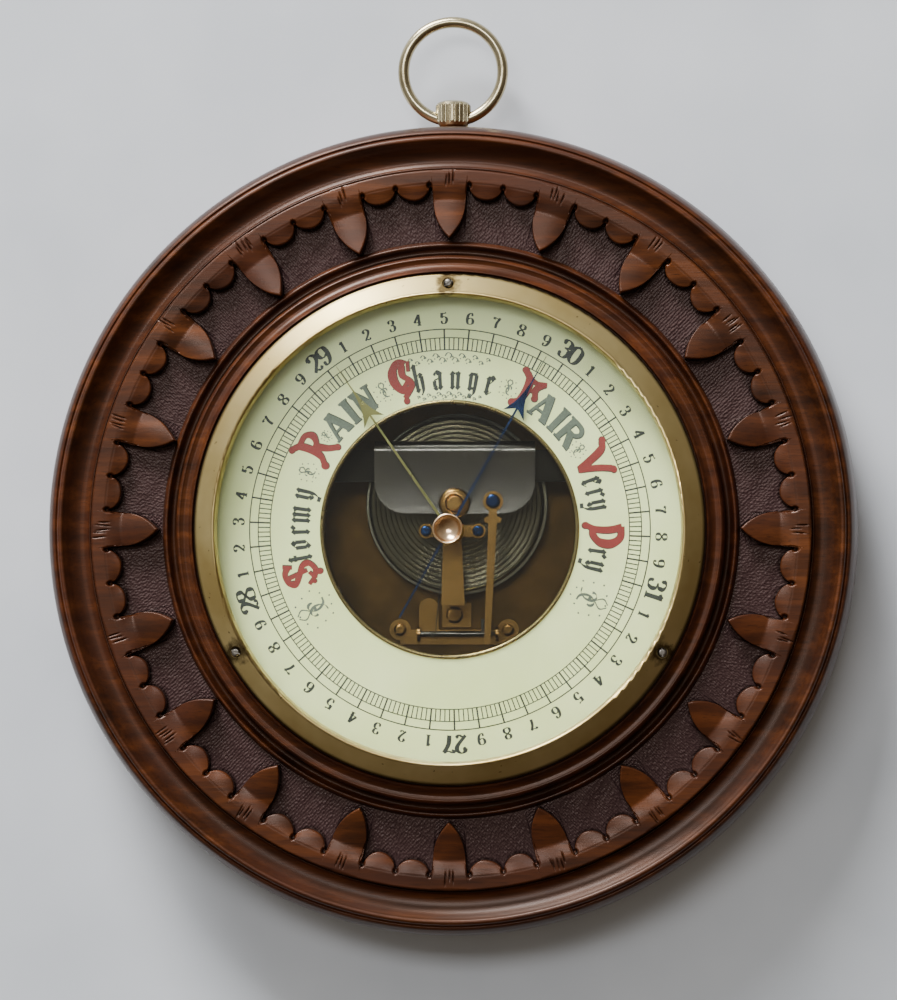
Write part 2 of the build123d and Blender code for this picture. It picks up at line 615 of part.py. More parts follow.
def make_glass_bush():
    """The flanged bush in the glass that the set hand's arbor turns in."""
    bush = post(0, 0, 1.7, GLASS_BACK, GLASS_FRONT) + post(0, 0, 2.8, GLASS_FRONT, GLASS_FRONT + 0.4)
    return bush - post(0, 0, 1.0 + RUNNING, GLASS_BACK, GLASS_FRONT + 0.4)


def make_set_knob():
    """The dished brass knob that turns the set hand."""
    base = GLASS_FRONT + 0.5
    rim = KNOB_R - 0.6
    rim_h = KNOB_FRONT - 0.2
    depth = 1.7
    dish_r = (rim * rim + depth * depth) / (2 * depth)
    half_way = rim_h - depth + dish_r - math.sqrt(dish_r ** 2 - (rim / 2) ** 2)
    return turned(
        Polyline((1.0, base), (2.6, base), (2.9, base + 0.8)),
        ThreePointArc((2.9, base + 0.8), (3.8, base + 1.9), (KNOB_R, KNOB_FRONT - 0.4)),
        ThreePointArc((KNOB_R, KNOB_FRONT - 0.4), (KNOB_R - 0.25, KNOB_FRONT), (rim, rim_h)),
        ThreePointArc((rim, rim_h), (rim / 2, half_way), (0, rim_h - depth)),
        Polyline((0, rim_h - depth), (0, base + 0.4), (1.0, base + 0.4), (1.0, base)),
    )


def stand_up(pieces):
    if not isinstance(pieces, (list, tuple)):
        pieces = [pieces]
    solids = [solid for piece in pieces for solid in piece.solids()]
    turned_up = [Rot(90, 0, 0) * solid for solid in solids]
    return turned_up[0] if len(turned_up) == 1 else Compound(children=turned_up)


def main():
    os.makedirs("parts", exist_ok=True)
    pendant = make_pendant()
    nodes = {
        "wood_case": make_wood_case(pendant),
        "pendant": pendant,
        "hanging_ring": make_hanging_ring(),
        "bezel": make_bezel(),
        "bezel_screws": make_bezel_screws(),
        "glass": make_glass(),
        "glass_retaining_ring": make_glass_ring(),
        "glass_bush": make_glass_bush(),
        "dial": make_dial(),
        "dial_plate": make_dial_plate(),
        "dial_sight_ring": make_sight_ring(),
        "dial_pillars": make_dial_pillars(),
        "dial_pillar_screws": make_pillar_screws(),
        "base_plate": make_base_plate(),
        "base_plate_screws": make_base_screws(),
        "back_cover": make_back_cover(),
        "back_cover_screws": make_back_cover_screws(),
        "regulating_screw": make_regulating_screw(),
        "capsule": make_capsule(),
        "capsule_foot": make_capsule_foot(),
        "capsule_foot_nut": make_capsule_foot_nut(),
        "capsule_stud": make_capsule_stud(),
        "stud_collar": make_stud_collar(),
        "spring_bridge": make_spring_bridge(),
        "spring_bridge_screws": make_bridge_screws(),
        "mainspring": make_mainspring(),
        "main_lever": make_main_lever(),
        "lever_screw": make_lever_screw(),
        "lever_link": make_lever_link(),
        "arbor_frame": make_arbor_frame(),
        "arbor_frame_screws": make_frame_screws(),
        "rocking_arbor": make_rocking_arbor(),
        "chain": make_chain(),
        "pointer_cock": make_pointer_cock(),
        "cock_screws": make_cock_screws(),
        "cock_screw_collars": make_screw_collars(),
        "cock_foot_screw": make_cock_foot_screw(),
        "pointer_under_plate": make_under_plate(),
        "pointer_arbor": make_pointer_arbor(),
        "hairspring": make_hairspring(),
        "indicating_hand": make_indicating_hand(),
        "set_hand": make_set_hand(),
        "set_hand_arbor": make_set_arbor(),
        "set_knob": make_set_knob(),
    }
    for name, piece in nodes.items():
        export_step(stand_up(piece), f"parts/{name}.step")


main()
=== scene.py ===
import json
import math

import bpy
import numpy as np
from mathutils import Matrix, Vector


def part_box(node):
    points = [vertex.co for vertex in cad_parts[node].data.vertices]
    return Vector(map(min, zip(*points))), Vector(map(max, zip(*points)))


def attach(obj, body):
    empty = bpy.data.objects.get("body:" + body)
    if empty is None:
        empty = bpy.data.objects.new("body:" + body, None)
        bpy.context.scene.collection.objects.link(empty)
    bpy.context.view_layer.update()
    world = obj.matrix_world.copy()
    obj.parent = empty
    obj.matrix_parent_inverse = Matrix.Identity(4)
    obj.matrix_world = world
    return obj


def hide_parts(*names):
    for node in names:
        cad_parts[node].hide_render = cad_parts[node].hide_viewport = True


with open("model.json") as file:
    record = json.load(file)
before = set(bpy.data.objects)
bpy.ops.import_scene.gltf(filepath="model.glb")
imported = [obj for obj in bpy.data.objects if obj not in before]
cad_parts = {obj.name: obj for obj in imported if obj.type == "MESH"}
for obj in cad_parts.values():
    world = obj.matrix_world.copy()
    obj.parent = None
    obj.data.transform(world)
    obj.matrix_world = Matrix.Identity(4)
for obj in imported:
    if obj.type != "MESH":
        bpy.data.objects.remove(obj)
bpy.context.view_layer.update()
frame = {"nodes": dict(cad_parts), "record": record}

# An aneroid barometer in a carved walnut case, on a pale wall.
# The dial's axis is the line x = 0, z = 0. Shapes are worked out in millimetres as seen from the front:
# right, up, and out of the wall. on_wall() turns them to metres in the frame, where out is -Y.
MM = 0.001
rng = np.random.default_rng(7)


# ---------------------------------------------------------------- shapes

def on_wall(right, up, out):
    """Points in metres in the frame from arrays of millimetres to the right, up and out of the wall."""
    return np.stack(np.broadcast_arrays(right * MM, -out * MM, up * MM), axis=-1)


def around(radius, turn, out, centre=(0.0, 0.0)):
    """Points at a radius and a clockwise turn, in radians, from the top of a circle."""
    return on_wall(centre[0] + radius * np.sin(turn), centre[1] + radius * np.cos(turn), out)


def grid_faces(rows, columns, close_rows, close_columns):
    """Quads between neighbouring points of a grid, joined up where it closes."""
    i, j = np.meshgrid(
        np.arange(rows if close_rows else rows - 1),
        np.arange(columns if close_columns else columns - 1),
        indexing="ij",
    )
    below, beside = (i + 1) % rows, (j + 1) % columns
    corners = (i * columns + j, i * columns + beside, below * columns + beside, below * columns + j)
    return np.stack(corners, axis=-1).reshape(-1, 4)


def piece(name, points, faces, material, body, caps=(), crease=35.0, stands_for=(), values=None):
    """A closed mesh with its faces outwards, riding on a body, with one material.
    faces are quads, and each cap is one more face as a row of point numbers that runs the same way round."""
    points = np.asarray(points, dtype=float).reshape(-1, 3)
    a, b, c, d = (points[faces[:, k]] - points[0] for k in range(4))
    volume = np.einsum("ij,ij->", a, np.cross(b, c)) + np.einsum("ij,ij->", a, np.cross(c, d))
    turn = -1 if volume < 0 else 1
    corners = np.concatenate([faces[:, ::turn].ravel()] + [np.asarray(cap)[::turn] for cap in caps])
    sizes = np.array([4] * len(faces) + [len(cap) for cap in caps])
    mesh = bpy.data.meshes.new(name)
    mesh.vertices.add(len(points))
    mesh.vertices.foreach_set("co", points.ravel())
    mesh.loops.add(len(corners))
    mesh.loops.foreach_set("vertex_index", corners.astype(np.int32))
    mesh.polygons.add(len(sizes))
    mesh.polygons.foreach_set("loop_start", (np.cumsum(sizes) - sizes).astype(np.int32))
    mesh.update(calc_edges=True)
    for key, numbers in (values or {}).items():
        attribute = mesh.attributes.new(key, "FLOAT", "POINT")
        attribute.data.foreach_set("value", np.asarray(numbers, dtype=np.float32).ravel())
    mesh.validate()
    mesh.shade_smooth()
    mesh.set_sharp_from_angle(angle=math.radians(crease))
    mesh.materials.append(MATERIALS[material])
    made = bpy.data.objects.new(name, mesh)
    bpy.context.scene.collection.objects.link(made)
    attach(made, body)
    if stands_for:
        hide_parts(*stands_for)
    return made


def arc(start, through, end, count=8):
    """Points along the circle through three points of a profile, its start left out."""
    (ax, ay), (bx, by), (cx, cy) = start, through, end
    twice = 2 * (ax * (by - cy) + bx * (cy - ay) + cx * (ay - by))
    a2, b2, c2 = ax * ax + ay * ay, bx * bx + by * by, cx * cx + cy * cy
    ux = (a2 * (by - cy) + b2 * (cy - ay) + c2 * (ay - by)) / twice
    uy = (a2 * (cx - bx) + b2 * (ax - cx) + c2 * (bx - ax)) / twice
    first, middle, last = (math.atan2(y - uy, x - ux) for x, y in (start, through, end))
    middle = (middle - first) % (2 * math.pi)
    last = (last - first) % (2 * math.pi)
    sweep = last if middle < last else last - 2 * math.pi
    turns = first + sweep * np.arange(1, count + 1) / count
    radius = math.hypot(ax - ux, ay - uy)
    return list(zip(ux + radius * np.cos(turns), uy + radius * np.sin(turns)))


def turned(name, profile, material, body, centre=(0.0, 0.0), segments=240, crease=35.0, stands_for=(),
           values=None):
    """A closed profile of (radius, height) points carried round a circle about the dial's axis."""
    profile = np.asarray(profile, dtype=float)
    turn = np.linspace(0, 2 * np.pi, segments, endpoint=False)
    points = around(profile[None, :, 0], turn[:, None], profile[None, :, 1], centre)
    faces = grid_faces(segments, len(profile), True, True)
    if values:
        values = {key: np.tile(numbers, segments) for key, numbers in values.items()}
    return piece(name, points, faces, material, body, (), crease, stands_for, values)


# ---------------------------------------------------------------- materials

def to_linear(colour):
    """The linear colour of an sRGB hex value, with alpha 1."""
    parts = [int(colour[i:i + 2], 16) / 255 for i in (1, 3, 5)]
    return [c / 12.92 if c <= 0.04045 else ((c + 0.055) / 1.055) ** 2.4 for c in parts] + [1.0]


def add(tree, kind, links=None, numbers=None, **settings):
    """A node of one kind: links feed its inputs from outputs, numbers fill inputs by their place,
    and settings fill inputs or properties by name."""
    made = tree.nodes.new(kind)
    for key, value in (numbers or {}).items():
        made.inputs[key].default_value = value
    for key, value in settings.items():
        if key in made.inputs:
            made.inputs[key].default_value = value
        else:
            setattr(made, key, value)
    for key, output in (links or {}).items():
        tree.links.new(output, made.inputs[key])
    return made


def ramp(tree, factor, *stops):
    """A colour ramp from (place, hex) stops."""
    made = add(tree, "ShaderNodeValToRGB", {"Fac": factor})
    elements = made.color_ramp.elements
    while len(elements) < len(stops):
        elements.new(0.5)
    for element, (place, colour) in zip(elements, stops):
        element.position = place
        element.color = to_linear(colour)
    return made.outputs["Color"]


def material(name):
    """An empty material with its tree, its shader and its object coordinates in millimetres."""
    made = bpy.data.materials.new(name)
    made.use_nodes = True
    tree = made.node_tree
    tree.nodes.clear()
    shader = add(tree, "ShaderNodeBsdfPrincipled")
    add(tree, "ShaderNodeOutputMaterial", {"Surface": shader.outputs["BSDF"]})
    place = add(tree, "ShaderNodeTexCoord").outputs["Object"]
    scale = add(tree, "ShaderNodeVectorMath", {0: place}, operation="SCALE", Scale=1000.0)
    return made, tree, shader, scale.outputs["Vector"]


def stretched(tree, place, x, y, z):
    """Coordinates scaled along each axis, so that a pattern one unit wide is 1/x, 1/y, 1/z mm wide."""
    return add(tree, "ShaderNodeMapping", {"Vector": place}, Scale=(x, y, z)).outputs["Vector"]


def noise(tree, place, scale, detail=3.0, roughness=0.5):
    return add(
        tree, "ShaderNodeTexNoise", {"Vector": place}, Scale=scale, Detail=detail, Roughness=roughness
    ).outputs["Fac"]


def spread(tree, factor, low, high, to_low=0.0, to_high=1.0):
    """The part of a pattern from low to high, stretched over to_low to to_high and clamped."""
    return add(
        tree, "ShaderNodeMapRange", {"Value": factor},
        **{"From Min": low, "From Max": high, "To Min": to_low, "To Max": to_high},
    ).outputs["Result"]


def blend(tree, factor, a, b, how="MIX"):
    """Two colours mixed by a factor. A colour may be an output or a hex value, and a factor a number."""
    made = add(tree, "ShaderNodeMix", data_type="RGBA", blend_type=how)
    for index, value in ((0, factor), (6, a), (7, b)):
        if isinstance(value, str):
            made.inputs[index].default_value = to_linear(value)
        elif isinstance(value, (int, float)):
            made.inputs[index].default_value = value
        else:
            tree.links.new(value, made.inputs[index])
    return made.outputs[2]


def raised(tree, shader, height, distance_mm, strength=1.0):
    bump = add(tree, "ShaderNodeBump", {"Height": height}, Distance=distance_mm * MM, Strength=strength)
    tree.links.new(bump.outputs["Normal"], shader.inputs["Normal"])


def french_polished_walnut():
    """Walnut, turned and carved, French polished: warm red-brown under a soft shellac gloss.
    Pores run along the board, left to right. The hollow attribute darkens the wood nearly to black as painted
    shade, and the ground between the leaves, matted with a punch, is a duller purple brown."""
    made, tree, shader, place = material("carved_walnut")
    figure = noise(tree, stretched(tree, place, 0.05, 0.5, 0.5), 0.55, 4.0, 0.6)
    pores = noise(tree, stretched(tree, place, 0.14, 2.4, 2.4), 1.1, 3.0, 0.6)
    patches = noise(tree, place, 0.035, 2.0, 0.5)
    colour = ramp(tree, figure, (0.3, "#24120a"), (0.5, "#3d1e0c"), (0.72, "#5c3013"))
    colour = blend(tree, spread(tree, patches, 0.35, 0.7, 0.0, 0.4), colour, "#42190a")
    colour = blend(tree, spread(tree, pores, 0.56, 0.72, 0.0, 0.6), colour, "#140704")
    matted = add(tree, "ShaderNodeAttribute", attribute_name="matted").outputs["Fac"]
    hollow = add(tree, "ShaderNodeAttribute", attribute_name="hollow").outputs["Fac"]
    colour = blend(tree, matted, colour, blend(tree, pores, "#241417", "#3f2b2c"))
    # Painted shade: the hollow attribute darkens coves, grooves, carved walls, the outer bead's flank and the
    # wood by the bezel.
    colour = blend(tree, hollow, colour, "#0e0604")
    tree.links.new(colour, shader.inputs["Base Color"])
    worn = spread(tree, patches, 0.3, 0.7, 0.3, 0.42)
    rough = add(tree, "ShaderNodeMix", {0: matted, 2: worn}, {3: 0.46}, data_type="FLOAT")
    tree.links.new(rough.outputs[0], shader.inputs["Roughness"])
    shader.inputs["Specular IOR Level"].default_value = 0.4
    shader.inputs["Specular Tint"].default_value = to_linear("#f4cfb6")
    shader.inputs["Coat Weight"].default_value = 0.07
    shader.inputs["Coat Roughness"].default_value = 0.2
    raised(tree, shader, pores, 0.04, 0.4)
    return made


def polished_metal(name, dark, light, rough, tarnish=None, spots=0.0):
    """A polished or lacquered metal, drifting from dark to light, with tarnish in patches and spots."""
    made, tree, shader, place = material(name)
    drift = noise(tree, place, 0.12, 3.0, 0.5)
    colour = ramp(tree, drift, (0.3, dark), (0.7, light))
    if tarnish:
        patches = noise(tree, place, 0.3, 4.0, 0.6)
        colour = blend(tree, spread(tree, patches, 0.55, 0.75, 0.0, 0.5), colour, tarnish)
    if spots:
        dots = noise(tree, place, 0.9, 2.0, 0.5)
        colour = blend(tree, spread(tree, dots, 0.72, 0.76, 0.0, spots), colour, "#2b2013")
    tree.links.new(colour, shader.inputs["Base Color"])
    shader.inputs["Metallic"].default_value = 1.0
    tree.links.new(spread(tree, drift, 0.3, 0.7, rough * 1.15, rough * 0.85), shader.inputs["Roughness"])
    return made


BEZEL_SCREW_PITCH_R = 65.2


def bezel_brass():
    """Spun brass under old lacquer: pale gold, browned round the screws, with painted shade darkening its
    outermost rim.
    """
    made, tree, shader, place = material("lacquered_brass")
    drift = noise(tree, place, 0.06, 3.0, 0.5)
    colour = ramp(tree, drift, (0.3, "#b39a5e"), (0.7, "#d3bd82"))
    smudge = noise(tree, place, 0.35, 4.0, 0.65)
    flat = add(tree, "ShaderNodeVectorMath", {0: place}, {1: (1.0, 0.0, 1.0)},
               operation="MULTIPLY").outputs["Vector"]
    for k in range(3):
        turn = k * 2 * math.pi / 3
        screw = (BEZEL_SCREW_PITCH_R * math.sin(turn), 0.0, BEZEL_SCREW_PITCH_R * math.cos(turn))
        near = add(tree, "ShaderNodeVectorMath", {0: flat}, {1: screw}, operation="DISTANCE").outputs["Value"]
        reach = add(tree, "ShaderNodeMath", {0: smudge}, {1: 7.0}, operation="MULTIPLY").outputs["Value"]
        inside = add(tree, "ShaderNodeMath", {0: reach, 1: near}, operation="SUBTRACT").outputs["Value"]
        colour = blend(tree, spread(tree, inside, -0.4, 1.6, 0.0, 0.85), colour, "#33220f")
    # Painted shade: the bezel darkens past 67 mm, at its outermost rim.
    radius = add(tree, "ShaderNodeVectorMath", {0: flat}, operation="LENGTH").outputs["Value"]
    colour = blend(tree, spread(tree, radius, 67.0, 67.7, 0.0, 0.9), colour, "#2a1a0c")
    dots = noise(tree, place, 0.7, 2.0, 0.5)
    colour = blend(tree, spread(tree, dots, 0.72, 0.76, 0.0, 0.7), colour, "#4a3517")
    tree.links.new(colour, shader.inputs["Base Color"])
    shader.inputs["Metallic"].default_value = 1.0
    tree.links.new(spread(tree, drift, 0.3, 0.7, 0.4, 0.32), shader.inputs["Roughness"])
    return made


def ivory_enamel():
    """A fired ivory enamel dial: faintly green cream, glossy, a little uneven."""
    made, tree, shader, place = material("dial_enamel")
    cloud = noise(tree, place, 0.05, 3.0, 0.5)
    specks = noise(tree, place, 2.2, 2.0, 0.5)
    colour = ramp(tree, cloud, (0.3, "#dcda96"), (0.7, "#e8e4a9"))
    colour = blend(tree, spread(tree, specks, 0.66, 0.72, 0.0, 0.25), colour, "#a9a487")
    tree.links.new(colour, shader.inputs["Base Color"])
    tree.links.new(spread(tree, specks, 0.3, 0.7, 0.28, 0.36), shader.inputs["Roughness"])
    return made


def printing_ink(name, colour, worn):
    """Printer's ink on enamel, slightly worn: matt, its tone uneven."""
    made, tree, shader, place = material(name)
    wear = noise(tree, place, 1.4, 3.0, 0.6)
    tone = blend(tree, spread(tree, wear, 0.45, 0.75, 0.0, 0.5), colour, worn)
    tree.links.new(tone, shader.inputs["Base Color"])
    shader.inputs["Roughness"].default_value = 0.5
    return made


def window_glass():
    """Flat old crown glass: clear, faintly green, polished on both faces."""
    made, tree, shader, place = material("flat_glass")
    ripple = noise(tree, place, 0.06, 2.0, 0.5)
    shader.inputs["Base Color"].default_value = to_linear("#f4faf5")
    shader.inputs["Roughness"].default_value = 0.0
    shader.inputs["Transmission Weight"].default_value = 1.0
    shader.inputs["IOR"].default_value = 1.5
    raised(tree, shader, ripple, 0.05, 0.1)
    solid = shader.outputs["BSDF"]
    clear = add(tree, "ShaderNodeBsdfTransparent", Color=to_linear("#eef5ef")).outputs["BSDF"]
    lamp = add(tree, "ShaderNodeLightPath").outputs["Is Shadow Ray"]
    both = add(tree, "ShaderNodeMixShader", {"Fac": lamp, 1: solid, 2: clear})
    out = next(n for n in tree.nodes if n.type == "OUTPUT_MATERIAL")
    tree.links.new(both.outputs["Shader"], out.inputs["Surface"])
    return made


MATERIALS = {
    "carved_walnut": french_polished_walnut(),
    "lacquered_brass": bezel_brass(),
    "ring_brass": polished_metal("ring_brass", "#a39674", "#cbbf9c", 0.22, "#7a6b4a", 0.3),
    "screw_steel": polished_metal("screw_steel", "#5f5a52", "#9a948a", 0.35, "#3a2f22", 0.5),
    "blued_steel": polished_metal("blued_steel", "#101c36", "#274678", 0.22),
    "flat_glass": window_glass(),
    "dial_enamel": ivory_enamel(),
    "gilt_brass": polished_metal("gilt_brass", "#7d6a44", "#a08a5c", 0.25, "#54452a"),
    "plate_brass": polished_metal("plate_brass", "#33230f", "#4a3419", 0.4, "#1f150a"),
    "movement_brass": polished_metal("movement_brass", "#7d5a2c", "#a57c46", 0.24, "#5c3d1c"),
    "capsule_metal": polished_metal("capsule_metal", "#857f70", "#a8a292", 0.2, "#6b634f"),
    "spring_steel": polished_metal("spring_steel", "#544e4b", "#666059", 0.17),
    "cast_bridge": polished_metal("cast_bridge", "#141210", "#201d19", 0.5),
    "set_brass": polished_metal("set_brass", "#686138", "#857d50", 0.3),
    "knob_brass": polished_metal("knob_brass", "#cfa77c", "#edd2ab", 0.22, "#8d6a48", 0.6),
    "back_card": polished_metal("back_card", "#1c1a18", "#2b2825", 0.6),
    "black_ink": printing_ink("black_ink", "#15150f", "#34352b"),
    "grey_ink": printing_ink("grey_ink", "#4f5347", "#6d7263"),
    "red_ink": printing_ink("red_ink", "#780903", "#8c1d0b"),
}
for node_name, node in frame["nodes"].items():
    slot_name = next(s["material_slot"] for s in frame["record"]["subparts"] if s["node"] == node_name)
    for held in node.material_slots:
        held.material = MATERIALS[slot_name]


# ---------------------------------------------------------------- camera, lights and wall

VIEW_WIDTH = 241.9        # mm of the wall across the picture
VIEW_TALL = VIEW_WIDTH * 1000 / 897
VIEW_DISTANCE = 1000.0
VIEW_AZIMUTH = math.radians(3.0)
VIEW_ELEVATION = math.radians(-1.5)
VIEW_CENTRE = (-0.9, 8.15, 18.0)   # what the middle of the picture looks at

SENSOR = 36.0


def place_camera():
    data = bpy.data.cameras.new("camera")
    data.sensor_width = SENSOR
    data.lens = SENSOR * VIEW_DISTANCE / VIEW_TALL
    data.clip_end = 10.0
    camera = bpy.data.objects.new("camera", data)
    bpy.context.scene.collection.objects.link(camera)
    right, up, out = VIEW_CENTRE
    away = VIEW_DISTANCE
    camera.location = on_wall(
        right + away * math.sin(VIEW_AZIMUTH) * math.cos(VIEW_ELEVATION),
        up + away * math.sin(VIEW_ELEVATION),
        out + away * math.cos(VIEW_AZIMUTH) * math.cos(VIEW_ELEVATION),
    )
    camera.rotation_euler = (math.pi / 2 - VIEW_ELEVATION, 0, VIEW_AZIMUTH)
    bpy.context.scene.camera = camera


def soft_light(name, right, up, out, size, power, colour):
    """A square lamp that faces the middle of the barometer. Places and size are in metres."""
    data = bpy.data.lights.new(name, "AREA")
    data.shape = "RECTANGLE"
    data.size, data.size_y = size
    data.energy = power
    data.color = to_linear(colour)[:3]
    lamp = bpy.data.objects.new(name, data)
    bpy.context.scene.collection.objects.link(lamp)
    lamp.location = (right, -out, up)
    direction = -np.array(lamp.location)
    yaw = math.atan2(direction[1], direction[0]) - math.pi / 2
    pitch = math.atan2(direction[2], math.hypot(direction[0], direction[1])) + math.pi / 2
    lamp.rotation_euler = (pitch, 0, yaw)


def make_wall():
    """A pale painted wall behind the case, seen from the front only, so that the back shows too."""
    made, tree, shader, place = material("painted_wall")
    mottle = noise(tree, place, 0.02, 3.0, 0.5)
    grit = noise(tree, place, 0.8, 3.0, 0.6)
    tree.links.new(ramp(tree, mottle, (0.3, "#c9cccd"), (0.7, "#d6d8d8")), shader.inputs["Base Color"])
    shader.inputs["Roughness"].default_value = 0.85
    raised(tree, shader, grit, 0.05, 0.3)
    behind = add(tree, "ShaderNodeNewGeometry").outputs["Backfacing"]
    clear = add(tree, "ShaderNodeBsdfTransparent").outputs["BSDF"]
    both = add(tree, "ShaderNodeMixShader", {"Fac": behind, 1: shader.outputs["BSDF"], 2: clear})
    out = next(n for n in tree.nodes if n.type == "OUTPUT_MATERIAL")
    tree.links.new(both.outputs["Shader"], out.inputs["Surface"])
    mesh = bpy.data.meshes.new("wall")
    half = 3.0
    gap = 0.0006
    mesh.from_pydata([(-half, gap, -half), (half, gap, -half), (half, gap, half), (-half, gap, half)],
                     [], [(0, 1, 2, 3)])
    mesh.materials.append(made)
    wall = bpy.data.objects.new("wall", mesh)
    bpy.context.scene.collection.objects.link(wall)
    wall.visible_shadow = False


def light_room():
    world = bpy.data.worlds.new("room")
    bpy.context.scene.world = world
    world.use_nodes = True
    tree = world.node_tree
    toward = add(tree, "ShaderNodeTexCoord").outputs["Generated"]
    upper_left = add(tree, "ShaderNodeVectorMath", {0: toward}, {1: (-0.5, 0.0, 0.87)},
                     operation="DOT_PRODUCT")
    sky = ramp(tree, spread(tree, upper_left.outputs["Value"], -1.0, 1.0), (0.1, "#5c4b3c"),
               (0.5, "#a19b92"), (1.0, "#eef1f6"))
    tree.links.new(sky, tree.nodes["Background"].inputs["Color"])
    tree.nodes["Background"].inputs["Strength"].default_value = 0.75
    soft_light("window", -0.75, 1.75, 0.8, (1.2, 0.6), 115.0, "#f6f8ff")
    soft_light("low_window", -0.36, 0.68, 2.1, (1.1, 0.42), 17.0, "#f6f8ff")


# ---------------------------------------------------------------- the case

CASE_R = max(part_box("wood_case")[1]) / MM
CHANNEL_H = 24.5        # the carved ring is let into the turning to this height
GROUND_R = 77.2
GROUND_H = 26.6
BAND_R = 96.0
BAND_INNER_R = 92.4
BAND_H = 31.2
EDGE_ROUND = 0.4

LEAVES = 20
LEAF_TIP_R = 77.7
LEAF_VALLEY_R = 88.0    # where a leaf's tip half turns up again
LEAF_ROOT = math.radians(3.35)
SCALLOP_CREST_R = 88.3
NOTCH_R = 90.9
BITE = math.radians(0.28)
BITE_DEPTH = 0.8


def make_case_turning():
    """The case's profile carried round the dial's axis, with a channel where the carved ring lies."""
    side = [(66.5, 0), (104.0, 0)] + arc((104, 0), (107.5, 1.5), (CASE_R, 5)) + [(CASE_R, 18.0)]
    bead_line = [(CASE_R, 18.0), (108.6, 22.5), (107.9, 26.3), (107.0, 28.4), (106.4, 29.1), (106.0, 29.3)]
    outer_bead = [tuple(point) for point in smooth(bead_line)] + [(105.85, 29.25), (105.65, 29.0)]
    rim = [(105.4, 29.2)] + arc((105.3, 29.6), (104.5, 30.4), (103.7, 30.0), 10)
    hollow_line = [(103.4, 29.7), (102.0, 28.5), (100.4, 27.7), (98.6, 27.4), (97.4, 27.8), (96.8, 28.3)]
    cove = [tuple(point) for point in smooth(hollow_line)]
    channel = [(96.6, 28.3), (96.45, 28.15), (96.3, 28.4), (96.05, 30.6), (96.0, 30.6), (96.0, CHANNEL_H)]
    channel += [(GROUND_R, CHANNEL_H), (GROUND_R, 26.7)]
    fillet = [(76.5, 28.3), (76.35, 28.55), (76.1, 28.65), (75.8, 28.6), (75.6, 28.4), (75.2, 27.2),
              (74.9, 26.8)]
    hollow = [(74.4, 26.6), (73.8, 26.7), (73.45, 27.2), (73.2, 29.4)]
    dished = smooth([(73.2, 29.4), (72.95, 31.6), (72.3, 32.6), (71.6, 32.45), (70.7, 32.3),
                     (69.7, 32.8), (68.9, 33.8)])
    inner = [tuple(point) for point in dished] + [(68.6, 34.1), (68.3, 33.9), (68.2, 33.0)]
    bore = [(63.6, 33.0), (63.6, 7.5), (55.0, 7.5), (55.0, 2.0), (66.5, 2.0)]
    profile = side + outer_bead + rim + cove + channel + fillet + hollow + inner + bore
    radius, height = np.array(profile).T
    # Painted shade: darkens the cove, the grooves, the outer flank of the bead and the wood beside the bezel.
    in_cove = (radius > 99.6) & (radius < 103.9) & (height > 20)
    in_groove = ((radius < 97.0) & (radius > 95.9)) | ((radius < 75.7) & (radius > 73.1) & (height < 29.6))
    on_bead = (radius > 106.5) & (height > 18.5)
    at_bezel = (radius < 68.5) & (height > 30)
    painted_shade = 0.35 * in_cove + 0.45 * on_bead + 0.4 * in_groove + 0.6 * at_bezel
    turned(
        "case_turning", profile, "carved_walnut", "case", segments=480, crease=50.0,
        stands_for=("wood_case",), values={"hollow": painted_shade, "matted": np.zeros(len(profile))},
    )


def leaf_cut():
    """How each leaf differs, as cut by hand: its tip, width, lean and the scallops beside it."""
    return {
        "tip": rng.normal(0.0, 0.35, LEAVES),
        "width": rng.normal(1.0, 0.04, LEAVES),
        "lean": rng.normal(0.0, math.radians(0.12), LEAVES),
        "crest": rng.normal(0.0, 0.25, LEAVES),
        "bend": rng.normal(0.0, 0.035, LEAVES),
    }


def carved_edge(turn, cut):
    """The inner edge of the raised carving at each turn: a leaf's side is an ogive, widening as one
    less a power of the way back from its root; a scallop is a circle's arc; between them are bites."""
    pitch = 2 * math.pi / LEAVES
    leaf = np.round(turn / pitch).astype(int) % LEAVES
    away = turn - np.round(turn / pitch) * pitch
    away = away - cut["lean"][leaf] * np.clip(1 - np.abs(away) / (pitch / 2), 0, 1)
    away = np.abs(away)
    side_end = (LEAF_ROOT - BITE) * cut["width"][leaf]
    tip = LEAF_TIP_R + cut["tip"][leaf]
    along = 1 - (1 - np.clip(away / side_end, 0, 1)) ** (1 / 3.5)
    side = tip + (NOTCH_R - tip) * along
    start = side_end + 2 * BITE
    end = pitch / 2 - BITE
    reach = np.clip((away - start) / (end - start), 0, 1) * 2 - 1
    half_chord = (end - start) * NOTCH_R / 2
    deep = NOTCH_R - SCALLOP_CREST_R - cut["crest"][leaf]
    arc_r = (half_chord ** 2 + deep ** 2) / (2 * deep)
    scallop = NOTCH_R - deep + arc_r - np.sqrt(np.clip(arc_r ** 2 - (half_chord * reach) ** 2, 0, None))
    root_bite = NOTCH_R + BITE_DEPTH * np.sqrt(np.clip(1 - ((away - side_end - BITE) / BITE) ** 2, 0, 1))
    mid_bite = NOTCH_R + BITE_DEPTH * np.sqrt(np.clip(1 - ((away - pitch / 2) / BITE) ** 2, 0, 1))
    edge = np.where(away < side_end, side,
                    np.where(away < start, root_bite, np.where(away < end, scallop, mid_bite)))
    return edge, leaf


